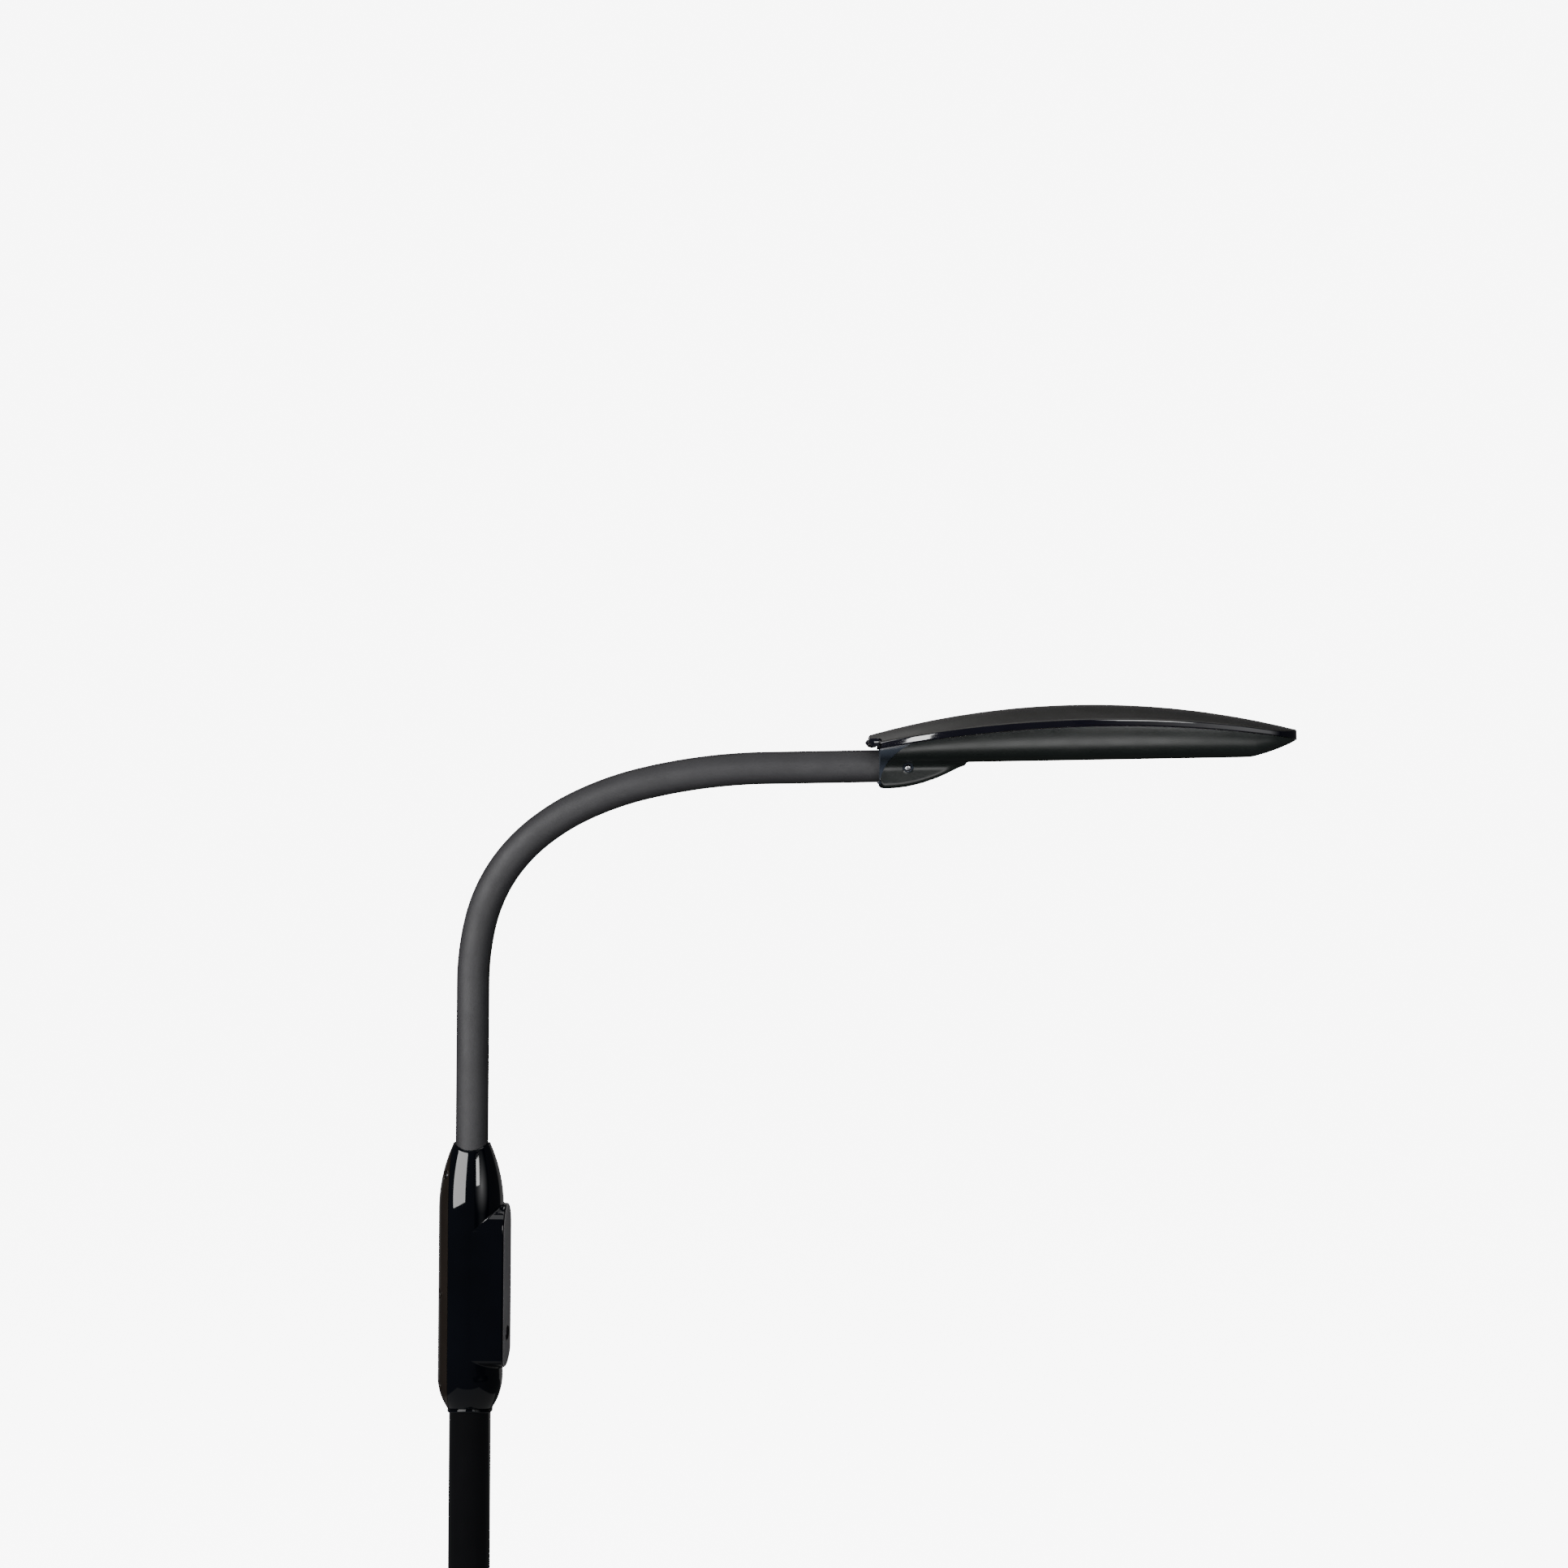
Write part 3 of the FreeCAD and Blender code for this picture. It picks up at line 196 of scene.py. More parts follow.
BLACK = (0.002, 0.002, 0.0024)
M = {
    "foot_rubber": node_material("foot_rubber", (0.02, 0.02, 0.02), 0.85, grain=0.3, vary=0.25),
    "cast_iron": node_material("cast_iron", (0.12, 0.115, 0.11), 0.75, grain=0.6, grain_scale=400, vary=0.3,
                               metallic=0.6),
    "pole_paint": node_material("pole_paint", BLACK, 0.1, coat=0.35, coat_rough=0.03, grain=0.01,
                                grain_scale=600, rough_vary=0.04, wear=0.05, vary=0.2),
    "collar_plastic": node_material("collar_plastic", BLACK, 0.12, grain=0.01, rough_vary=0.04, wear=0.1),
    "gland_plastic": node_material("gland_plastic", (0.015, 0.015, 0.015), 0.55, grain=0.12, wear=0.1),
    "steel": node_material("steel", (0.56, 0.57, 0.59), 0.28, metallic=1.0, grain=0.05, rough_vary=0.1,
                           vary=0.1, vary_scale=120),
    "die_cast": node_material("die_cast", (0.5, 0.51, 0.52), 0.45, metallic=1.0, grain=0.15, vary=0.12),
    "lead_sheath": node_material("lead_sheath", (0.015, 0.015, 0.015), 0.6, grain=0.1),
    "housing_plastic": node_material("housing_plastic", (0.0012, 0.0015, 0.0026), 0.05, grain=0.006,
                                     grain_scale=500, rough_vary=0.02, vary=0.25, vary_scale=22, wear=0.04),
    "housing_back_plastic": node_material("housing_back_plastic", (0.009, 0.0065, 0.005), 0.2, grain=0.02,
                                          rough_vary=0.05, vary=0.25, wear=0.08),
    "panel_plastic": node_material("panel_plastic", (0.21, 0.211, 0.213), 0.42, grain=0.1, grain_scale=1400,
                                   vary=0.1, wear=0.1),
    "button_plastic": node_material("button_plastic", (0.008, 0.008, 0.009), 0.4, grain=0.06, wear=0.15),
    "module_plastic": node_material("module_plastic", (0.03, 0.03, 0.03), 0.5, grain=0.1),
    "circuit_board": node_material("circuit_board", (0.02, 0.14, 0.05), 0.4, grain=0.05, vary=0.2),
    "choke_steel": node_material("choke_steel", (0.2, 0.17, 0.1), 0.4, grain=0.2, metallic=0.5),
    "capacitor_sleeve": node_material("capacitor_sleeve", (0.01, 0.03, 0.12), 0.25, grain=0.02),
    "neck_rubber": node_material("neck_rubber", (0.0168, 0.0164, 0.0183), 0.62, grain=0.14, grain_scale=1300,
                                 vary=0.1, vary_scale=40, rough_vary=0.05, specular=0.4),
    "cover_plastic": node_material("cover_plastic", (0.0125, 0.012, 0.0112), 0.4, grain=0.03,
                                   grain_scale=1100, vary=0.12, rough_vary=0.04, wear=0.05),
    "cover_rim": node_material("cover_rim", (0.004, 0.004, 0.007), 0.04, grain=0.004, grain_scale=500,
                               vary=0.2, rough_vary=0.015, wear=0.05),
    "tray_plastic": node_material("tray_plastic", (0.0105, 0.0135, 0.0125), 0.36, grain=0.14, grain_scale=1500,
                                  vary=0.08, rough_vary=0.05, wear=0.06),
    "collar_gloss": node_material("collar_gloss", (0.022, 0.027, 0.036), 0.2, grain=0.01, vary=0.15,
                                  rough_vary=0.04, wear=0.08),
    "diffuser_acrylic": node_material("diffuser_acrylic", (0.86, 0.86, 0.84), 0.3, grain=0.15,
                                      grain_scale=300, vary=0.02, specular=0.5),
    "reflector_white": node_material("reflector_white", (0.82, 0.82, 0.8), 0.3, vary=0.03, grain=0.03),
    "lamp_glass": node_material("lamp_glass", (0.85, 0.85, 0.82), 0.12, vary=0.03, grain=0.01),
    "lamp_plastic": node_material("lamp_plastic", (0.75, 0.75, 0.71), 0.45, vary=0.05, grain=0.08),
}
SLOTS = {entry["node"]: entry["material_slot"] for entry in frame["record"]["subparts"]}
for node_name, obj in frame["nodes"].items():
    obj.data.materials.clear()
    obj.data.materials.append(M[SLOTS[node_name]])

# -------- mesh tools


ROUND = 48  # sides of small round parts
HALVINGS = 44


def as_object(name, data):
    """A new object in the scene that holds a mesh, a light or a camera."""
    made = bpy.data.objects.new(name, data)
    bpy.context.scene.collection.objects.link(made)
    return made


def from_bmesh(name, work):
    """A new object from a bmesh, which is freed."""
    mesh = bpy.data.meshes.new(name)
    work.to_mesh(mesh)
    work.free()
    return as_object(name, mesh)


def soften(mesh, degrees):
    """Shade smooth, and keep the edges sharper than an angle."""
    for polygon in mesh.polygons:
        polygon.use_smooth = True
    mesh.set_sharp_from_angle(angle=math.radians(degrees))


def piece(name, vertices, faces, materials, *, place=None, merge=1e-6, degrees=32.0, picks=None):
    """A mesh from vertices in millimetres. place takes them to the row frame, picks names each face's material."""
    mesh = bpy.data.meshes.new(name)
    mesh.from_pydata([tuple(float(value) * MM for value in vertex) for vertex in vertices], [], faces)
    for material in materials:
        mesh.materials.append(M[material])
    if picks is not None:
        mesh.polygons.foreach_set("material_index", np.array(picks, dtype=np.int32))
    work = bmesh.new()
    work.from_mesh(mesh)
    bmesh.ops.remove_doubles(work, verts=work.verts, dist=merge)
    bmesh.ops.dissolve_degenerate(work, edges=work.edges, dist=1e-8)
    bmesh.ops.recalc_face_normals(work, faces=work.faces)
    work.to_mesh(mesh)
    work.free()
    if place is not None:
        mesh.transform(place)
    soften(mesh, degrees)
    made = as_object(name, mesh)
    return made


def grid_faces(rows, columns, *, wrap_rows=False, wrap_columns=False, offset=0):
    """Quads over a grid of rows x columns vertices."""
    faces = []
    for row in range(rows if wrap_rows else rows - 1):
        after = (row + 1) % rows
        for column in range(columns if wrap_columns else columns - 1):
            beside = (column + 1) % columns
            faces.append((offset + row * columns + column, offset + row * columns + beside,
                          offset + after * columns + beside, offset + after * columns + column))
    return faces


def apply_modifiers(obj, degrees):
    """Bake an object's modifiers into its mesh."""
    bpy.context.view_layer.update()
    graph = bpy.context.evaluated_depsgraph_get()
    baked = bpy.data.meshes.new_from_object(obj.evaluated_get(graph))
    obj.modifiers.clear()
    obj.data = baked
    soften(baked, degrees)
    return obj


def solidify(obj, thickness, degrees):
    """Give an open skin a wall that goes inward."""
    modifier = obj.modifiers.new("wall", "SOLIDIFY")
    modifier.thickness = thickness * MM
    modifier.offset = -1
    modifier.use_even_offset = False
    return apply_modifiers(obj, degrees)


def drill(obj, cutters, degrees=32.0):
    """Cut other meshes out of an object and remove them."""
    for cutter in cutters:
        modifier = obj.modifiers.new("drill", "BOOLEAN")
        modifier.operation = "DIFFERENCE"
        modifier.solver = "EXACT"
        modifier.object = cutter
    apply_modifiers(obj, degrees)
    for cutter in cutters:
        bpy.data.objects.remove(cutter)
    return obj


def turned(name, profile, material, slot, place=None):
    """A closed profile of (radius, height) turned about Z."""
    angles = np.linspace(0, 2 * math.pi, ROUND, endpoint=False)
    vertices = [(r * math.cos(a), r * math.sin(a), z) for a in angles for r, z in profile]
    faces = grid_faces(ROUND, len(profile), wrap_rows=True, wrap_columns=True)
    return piece(name, vertices, faces, [material], place=place)


def quarter(steps, first=0):
    """Angles of a quarter turn in equal steps."""
    return [math.pi / 2 * step / steps for step in range(first, steps + 1)]


def smooth(value, low, high):
    """An even step from 0 at low to 1 at high."""
    share = np.clip((value - low) / (high - low), 0, 1)
    return share * share * (3 - 2 * share)


def round_union(a, b, radius):
    """Distance fields joined, with a fillet between them."""
    return np.maximum(np.minimum(a, b), radius) - np.hypot(np.maximum(radius - a, 0), np.maximum(radius - b, 0))


def round_meet(a, b, radius):
    """What two distance fields share, with its edge rounded."""
    return np.minimum(np.maximum(a, b), -radius) + np.hypot(np.maximum(a + radius, 0), np.maximum(b + radius, 0))


def reach_of(field, low, high):
    """Where a field that is negative near low turns positive before high."""
    for _ in range(HALVINGS):
        middle = (low + high) / 2
        outside = field(middle) > 0
        high = np.where(outside, middle, high)
        low = np.where(outside, low, middle)
    return (low + high) / 2


# -------- neck


SLEEVE_START, SLEEVE_TUCK, SLEEVE_WALL = 852.0, 6.0, 1.5
CORE_START, CORE_TUCK, CORE_RADIUS, CORE_BORE = 812.0, 20.0, 10.4, 7.0
LEAD_TUCK, LEAD_RADIUS, LEAD_BORE = 45.0, 3.2, 1.0
LEAD_FOOT, LEAD_BEND_LOW, LEAD_BEND_HIGH, LEAD_ASIDE = 741.0, 775.0, 803.0, -8.0
STATION_GAP = 1.6
joints = {joint["name"]: joint for joint in frame["joints"]}
marks = [start[0] for start in LINE[1:]]
SWAY_LOW, SWAY_HIGH = (joints[name]["pos_m"][2] / MM for name in ("neck_sway", "neck_sway_upper"))
HALF_WAY = (SWAY_LOW + SWAY_HIGH) / 2


def tube(name, stations, outer, inner, sides, material):
    """A closed pipe along stations of (x, z, heading) in the neck's plane."""
    rings = []
    for radius, order in ((outer, stations), (inner, stations[::-1])):
        for x, z, heading in order:
            side = Vector((math.cos(heading), 0, -math.sin(heading)))
            for turn in range(sides):
                angle = 2 * math.pi * turn / sides
                rings.append(Vector((x, 0, z)) + side * (radius * math.cos(angle))
                             + Vector((0, radius * math.sin(angle), 0)))
    faces = grid_faces(len(stations) * 2, sides, wrap_rows=True, wrap_columns=True)
    return piece(name, rings, faces, [material], degrees=50)


def neck_layer(layer, start, stop, outer, inner, sides, material, covers):
    """The sleeve, the core or the lead in nine lengths along the neck's rest curve. Each length's span names the
    bodies on its two sides, but the length is tied to neither.
    """
    made = []
    spans = [(start, HALF_WAY, "root", "neck_link_1", 2 * SWAY_LOW - HALF_WAY, HALF_WAY),
             (HALF_WAY, BEND_START, "neck_link_1", "neck_link_2", HALF_WAY, BEND_START - 0.5)]
    chain = [f"neck_link_{number}" for number in range(2, 9)] + ["head"]
    for number in range(BENDS):
        end = stop if number == BENDS - 1 else marks[number + 1]
        spans.append((marks[number], end, chain[number], chain[number + 1], marks[number], marks[number + 1]))
    for number, (low, high, body_a, body_b, blend_low, blend_high) in enumerate(spans):
        count = max(10, int((high - low) / STATION_GAP))
        stations = [on_line(distance) for distance in np.linspace(low, high, count)]
        length = tube(f"{layer}_{number}", stations, outer, inner, sides, material)
        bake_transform(length)
        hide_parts(*covers(number))
        made.append(length)
    return made


neck_skins = neck_layer("neck_skin", SLEEVE_START, LINE_END + SLEEVE_TUCK, NECK_RADIUS, NECK_RADIUS - SLEEVE_WALL,
                        72, "neck_rubber", lambda number: [f"neck_sleeve_{number}", f"neck_sleeve_{number + 1}"])
neck_layer("neck_core_coil", CORE_START, LINE_END + CORE_TUCK, CORE_RADIUS, CORE_BORE, 40, "steel",
           lambda number: [f"neck_core_{number}", f"neck_core_{number + 1}"])
neck_layer("neck_lead", SLEEVE_START, LINE_END + LEAD_TUCK, LEAD_RADIUS, LEAD_BORE, 20, "lead_sheath",
           lambda number: ["head_lead"])


def lead_aside(height):
    """How far the lead's foot stands off the neck's middle at a height."""
    return LEAD_ASIDE * (1 - float(smooth(height, LEAD_BEND_LOW, LEAD_BEND_HIGH)))


foot_stations = [(lead_aside(height), height, math.atan((lead_aside(height + 0.1) - lead_aside(height)) / 0.1))
                 for height in np.linspace(LEAD_FOOT, SLEEVE_START, 60)]
lead_foot = tube("neck_lead_foot", foot_stations, LEAD_RADIUS, LEAD_BORE, 20, "lead_sheath")
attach(lead_foot, "root")
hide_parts("head_lead")

# -------- control housing

HOUSING_BOTTOM, HOUSING_TOP = 661.5, 866.0
WAIST, SHOULDER = 690.0, 815.0
BODY_RADIUS, FOOT_RADIUS, TOP_RADIUS = 24.8, 17.0, 13.8
FOOT_ARC, SHOULDER_ARC = 45.0, 121.0
SPLIT, SEAM_GAP = 15.0, 0.2
HOUSING_WALL, BOSS_WALL = 1.6, 1.2
MOUTH_DIP, FOOT_LIFT = 4.5, 3.2
BOSS_FRONT, BOSS_HALF = 28.0, 24.6
BOSS_LOW, BOSS_HIGH = 704.5, 799.5
BOSS_EDGE, BOSS_FILLET = 1.5, 1.3
# Outlines: half width, rise of the arch at the foot, rise of the arch at the top.
BOSS_OUTLINE, RECESS_OUTLINE, PANEL_OUTLINE = (BOSS_HALF, 10.0, 19.5), (21.95, 8.35, 17.95), (21.8, 8.2, 17.8)
RECESS_DEPTH = 1.9
PANEL_PROUD, PANEL_THICK, PANEL_EDGE, HOLE_GAP = 0.1, 1.5, 0.45, 0.35
BUTTON_Z, BUTTON_WIDE, BUTTON_TALL = 719.5, 8.0, 5.0
BUTTON_PROUD, BUTTON_DEPTH, BUTTON_DISH, BUTTON_SIDES = 0.8, 7.3, 0.35, 96
WELL_HEIGHTS = (681.6, 751.6, 842.0)
WELL_ASIDE, WELL_FAR_SIDE, WELL_RADIUS, WELL_WALL, WELL_SCREW_BORE = 10, 13.6, 3.75, 4.6, 1.7
SCREW_SEAT = 1.3
HOUSING_SCREW, CHEEK_SCREW = (3.0, 1.7), (2.4, 1.5)  # radius and height of the head
CUT_REACH = 40


def arc_through(x0, y0, x1, y1, radius):
    """Centre of the arc from one point to another that bulges to +x."""
    dx, dy = x1 - x0, y1 - y0
    chord = math.hypot(dx, dy)
    rise = math.sqrt(radius * radius - chord * chord / 4)
    middle = ((x0 + x1) / 2, (y0 + y1) / 2)
    return middle[0] - dy / chord * rise, middle[1] + dx / chord * rise


foot_centre = arc_through(FOOT_RADIUS, HOUSING_BOTTOM, BODY_RADIUS, WAIST, FOOT_ARC)
shoulder_centre = arc_through(BODY_RADIUS, SHOULDER, TOP_RADIUS, HOUSING_TOP, SHOULDER_ARC)


def body_radius(z):
    """Radius of the housing's round body at a height."""
    z = np.asarray(z, dtype=float)
    foot = foot_centre[0] + np.sqrt(np.maximum(0, FOOT_ARC ** 2 - (z - foot_centre[1]) ** 2))
    shoulder = shoulder_centre[0] + np.sqrt(np.maximum(0, SHOULDER_ARC ** 2 - (z - shoulder_centre[1]) ** 2))
    return np.where(z < WAIST, foot, np.where(z > SHOULDER, shoulder, BODY_RADIUS))


def arched_outline(half, arch_low, arch_high):
    """An outline on the boss: points (y, z) and outward normals, with an elliptic arch at the top and the foot."""
    points, normals = [], []

    def arch(middle, tall, start, count):
        for angle in np.linspace(start, start + math.pi, count):
            points.append((half * math.cos(angle), middle + tall * math.sin(angle)))
            normal = Vector((math.cos(angle) / half, math.sin(angle) / tall)).normalized()
            normals.append((normal.x, normal.y))

    def side(sign, start, stop):
        for z in np.linspace(start, stop, 14)[1:-1]:
            points.append((sign * half, z))
            normals.append((sign, 0.0))

    arch(BOSS_HIGH, arch_high, 0.0, 97)
    side(-1.0, BOSS_HIGH, BOSS_LOW)
    arch(BOSS_LOW, arch_low, math.pi, 73)
    side(1.0, BOSS_LOW, BOSS_HIGH)
    return np.array(points), np.array(normals)


def housing_shell(name, front):
    """One half shell of the housing's round body, from its foot lip to its top lip."""
    lip_low = [(16.2, 669), (16.2, 661.9), (16.35, 661.55), (16.6, 661.5), (16.9, 661.6), (17.1, 661.95)]
    lip_high = [(13.72, 865.65), (13.5, 865.95), (13.2, 866.0), (12.95, 865.85), (12.85, 865.4), (12.85, 857)]
    heights = np.concatenate([np.linspace(HOUSING_BOTTOM + 0.9, WAIST, 30), np.linspace(WAIST, SHOULDER, 64)[1:],
                              np.linspace(SHOULDER, HOUSING_TOP - 0.8, 60)[1:]])
    profile = lip_low + [(float(body_radius(height)), height) for height in heights] + lip_high
    count = 240 if front else 120
    cut_x = -(SPLIT - SEAM_GAP) if front else -(SPLIT + SEAM_GAP)
    share = np.linspace(-1, 1, count)
    rows = []
    for ring, height in profile:
        if not front and ring < SPLIT + 0.25:
            continue
        edge = math.acos(max(-1.0, cut_x / ring))
        angles = share * edge if front else math.pi + share * (math.pi - edge)
        shift = FOOT_LIFT * smooth(height, WAIST, HOUSING_BOTTOM) - MOUTH_DIP * smooth(height, SHOULDER, HOUSING_TOP)
        rows.append(np.stack([ring * np.cos(angles), ring * np.sin(angles), height + shift * np.sin(angles) ** 2],
                             axis=1))
    vertices = np.concatenate(rows)
    faces = grid_faces(len(rows), count)
    if front:
        # The body is open behind the boss.
        x, y, z = vertices.T
        arch = np.sqrt(np.maximum(0, 1 - (y / (BOSS_HALF - 3)) ** 2))
        behind = (x > 0) & (np.abs(y) < BOSS_HALF - 3) & (z < BOSS_HIGH + 16 * arch) & (z > BOSS_LOW - 7 * arch)
        faces = [face for face in faces if not all(behind[corner] for corner in face)]
    material = "housing_plastic" if front else "housing_back_plastic"
    made = piece(name, vertices, faces, [material], merge=2e-5, degrees=40)
    return solidify(made, HOUSING_WALL, 40)


def boss_shell():
    """Arched boss on the front shell: a small fillet off the body, a soft front edge and the panel's recess."""
    outline, normals = arched_outline(*BOSS_OUTLINE)
    recess, _ = arched_outline(*RECESS_OUTLINE)
    sheets = []
    for (y, z), (ny, nz), (recess_y, recess_z) in zip(outline, normals, recess):
        off_boss = Vector((0, ny, nz))
        centre_y, centre_z = y + ny * BOSS_FILLET, z + nz * BOSS_FILLET
        reach = float(body_radius(centre_z)) + BOSS_FILLET
        centre = Vector((math.sqrt(reach ** 2 - centre_y ** 2), centre_y, centre_z))
        off_body = Vector((centre.x, centre.y, 0)).normalized()
        line = [centre - off_body * (BOSS_FILLET + 0.5)]
        for step in range(9):
            line.append(centre - off_body.slerp(off_boss, step / 8) * BOSS_FILLET)
        for x in np.linspace(centre.x, BOSS_FRONT - BOSS_EDGE, 9)[1:]:
            line.append(Vector((x, y, z)))
        for angle in quarter(8, 1):
            inset = BOSS_EDGE * (1 - math.cos(angle))
            line.append(Vector((BOSS_FRONT - BOSS_EDGE * (1 - math.sin(angle)), y - ny * inset, z - nz * inset)))
        line += [Vector((BOSS_FRONT - back, recess_y, recess_z)) for back in (0.0, 0.15, RECESS_DEPTH)]
        line.append(Vector((BOSS_FRONT - RECESS_DEPTH, recess_y * 0.8, BUTTON_Z + (recess_z - BUTTON_Z) * 0.9)))
        sheets.append(line)
    vertices = [point for line in sheets for point in line]
    faces = grid_faces(len(sheets), len(sheets[0]), wrap_rows=True)
    made = piece("housing_front_boss", vertices, faces, ["housing_plastic"], degrees=40)
    return solidify(made, BOSS_WALL, 40)


front_shell = housing_shell("housing_front_shell", True)
boss = boss_shell()
back_shell = housing_shell("housing_back_shell", False)


def rod_mesh(name, radius, low, high, centre, axis="X"):
    """A round bar along X or Y, used only as a cutter."""
    work = bmesh.new()
    bmesh.ops.create_cone(work, cap_ends=True, segments=ROUND, radius1=radius * MM, radius2=radius * MM,
                          depth=(high - low) * MM)
    turn = Matrix.Rotation(math.pi / 2, 4, {"X": "Y", "Y": "X"}[axis])
    middle = list(centre)
    middle["XY".index(axis)] = (low + high) / 2
    bmesh.ops.transform(work, matrix=Matrix.Translation(Vector(middle) * MM) @ turn, verts=work.verts)
    return from_bmesh(name, work)


drill(back_shell, [rod_mesh("well_cut", WELL_RADIUS, -CUT_REACH, -SPLIT, (0, side * WELL_ASIDE, height))
                   for height in WELL_HEIGHTS for side in (-1, 1)], 40)
ON_MINUS_X = Matrix.Rotation(-math.pi / 2, 4, "Y")
for number, height in enumerate(WELL_HEIGHTS):
    for side in (-1, 1):
        outside = math.sqrt(float(body_radius(height)) ** 2 - WELL_FAR_SIDE ** 2) - SPLIT
        seat = Matrix.Translation((-SPLIT * MM, side * WELL_ASIDE * MM, height * MM)) @ ON_MINUS_X
        wall = [(WELL_RADIUS, 1.2), (WELL_RADIUS, outside - 0.3), (WELL_WALL, outside - 0.3), (WELL_WALL, 0.4),
                (WELL_SCREW_BORE, 0.4), (WELL_SCREW_BORE, 1.2)]
        liner = turned(f"screw_well_{number}_{'ab'[side > 0]}", wall, "housing_back_plastic", "housing_plastic", seat)
        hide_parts("housing_back")
        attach(liner, "root")


def screw_head(name, radius, height, place, body, nodes):
    """A pan head with a cross recess, its top along local +Z."""
    profile = [(0.001, 0.0), (radius, 0.0), (radius, height * 0.35)]
    for a in quarter(8, 1):
        profile.append((max(0.001, radius * math.cos(a)), height * (0.35 + 0.65 * math.sin(a))))
    made = turned(name, profile, "steel", "steel")
    cutters = []
    long_side, short_side = radius * 1.15, radius * 0.3
    for size in ((long_side, short_side), (short_side, long_side)):
        work = bmesh.new()
        bmesh.ops.create_cube(work, size=1.0)
        bmesh.ops.scale(work, vec=Vector((size[0] * MM, size[1] * MM, height * 1.2 * MM)), verts=work.verts)
        bmesh.ops.translate(work, vec=Vector((0, 0, height * 1.05 * MM)), verts=work.verts)
        cutters.append(from_bmesh("recess", work))
    drill(made, cutters)
    made.data.transform(place)
    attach(made, body)
    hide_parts(*nodes)


for number, height in enumerate(WELL_HEIGHTS):
    for side in (-1, 1):
        seat = Matrix.Translation((-(SPLIT + SCREW_SEAT) * MM, side * WELL_ASIDE * MM, height * MM)) @ ON_MINUS_X
        screw_head(f"housing_screw_{number}_{'ab'[side > 0]}", *HOUSING_SCREW, seat, "root", ["housing_screws"])

# Thin collar ring round the pole, just below the foot lip and lifted with it.
ring_profile = [(16.1, 659.1), (16.9, 659.1), (17.2, 659.2), (17.38, 659.5), (17.38, 660.7), (17.2, 661.0),
                (16.9, 661.1), (16.1, 661.1)]
RING_SIDES = 160
vertices = []
for angle in np.linspace(0, 2 * math.pi, RING_SIDES, endpoint=False):
    lift = FOOT_LIFT * math.sin(angle) ** 2
    vertices += [(ring * math.cos(angle), ring * math.sin(angle), height + lift) for ring, height in ring_profile]
faces = grid_faces(RING_SIDES, len(ring_profile), wrap_rows=True, wrap_columns=True)
collar_ring = piece("foot_collar_ring", vertices, faces, ["housing_plastic"], degrees=60)
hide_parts("pole_collar_ring")
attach(collar_ring, "root")

for made, node in ((front_shell, "housing_front"), (boss, "housing_front"), (back_shell, "housing_back")):
    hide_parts(node)
    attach(made, "root")

# Panel: a thin arched plate with a soft edge, round the button's oval hole.
outline, normals = arched_outline(*PANEL_OUTLINE)
face_x = BOSS_FRONT + PANEL_PROUD
vertices = []
for (y, z), (ny, nz) in zip(outline, normals):
    line = [(face_x - PANEL_THICK, y, z)]
    for angle in quarter(5):
        inset = PANEL_EDGE * (1 - math.cos(angle))
        line.append((face_x - PANEL_EDGE * (1 - math.sin(angle)), y - ny * inset, z - nz * inset))
    bearing = math.atan2((z - BUTTON_Z) / BUTTON_TALL, y / BUTTON_WIDE)
    hole_y = (BUTTON_WIDE + HOLE_GAP) * math.cos(bearing)
    hole_z = BUTTON_Z + (BUTTON_TALL + HOLE_GAP) * math.sin(bearing)
    _, rim_y, rim_z = line[-1]
    for share in np.linspace(0, 1, 9)[1:]:
        line.append((face_x, rim_y + (hole_y * 1.03 - rim_y) * share,
                     rim_z + (BUTTON_Z + (hole_z - BUTTON_Z) * 1.04 - rim_z) * share))
    line += [(face_x - 0.2, hole_y, hole_z), (face_x - PANEL_THICK, hole_y, hole_z)]
    vertices += line
panel = piece("control_panel_plate", vertices,
              grid_faces(len(outline), len(vertices) // len(outline), wrap_rows=True, wrap_columns=True),
              ["panel_plastic"], degrees=40)
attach(panel, "root")
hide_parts("control_panel")

# Button: an oval cap with a soft edge and a shallow dish.
cap_top = BOSS_FRONT + BUTTON_PROUD
profile = [(1.0, cap_top - BUTTON_DEPTH), (1.0, cap_top - 0.7), (0.99, cap_top - 0.35), (0.95, cap_top - 0.1),
           (0.88, cap_top)]
profile += [(0.8 * (1 - step / 8) + 0.0001, cap_top - 0.05 - BUTTON_DISH * math.sin(math.pi / 2 * step / 8))
            for step in range(9)]
vertices = []
for turn in range(BUTTON_SIDES):
    angle = 2 * math.pi * turn / BUTTON_SIDES
    for share, x in profile:
        vertices.append((x, BUTTON_WIDE * share * math.cos(angle), BUTTON_Z + BUTTON_TALL * share * math.sin(angle)))
button = piece("power_button_cap", vertices, grid_faces(BUTTON_SIDES, len(profile), wrap_rows=True),
               ["button_plastic"], degrees=40)
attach(button, "button")
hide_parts("power_button")

# -------- head

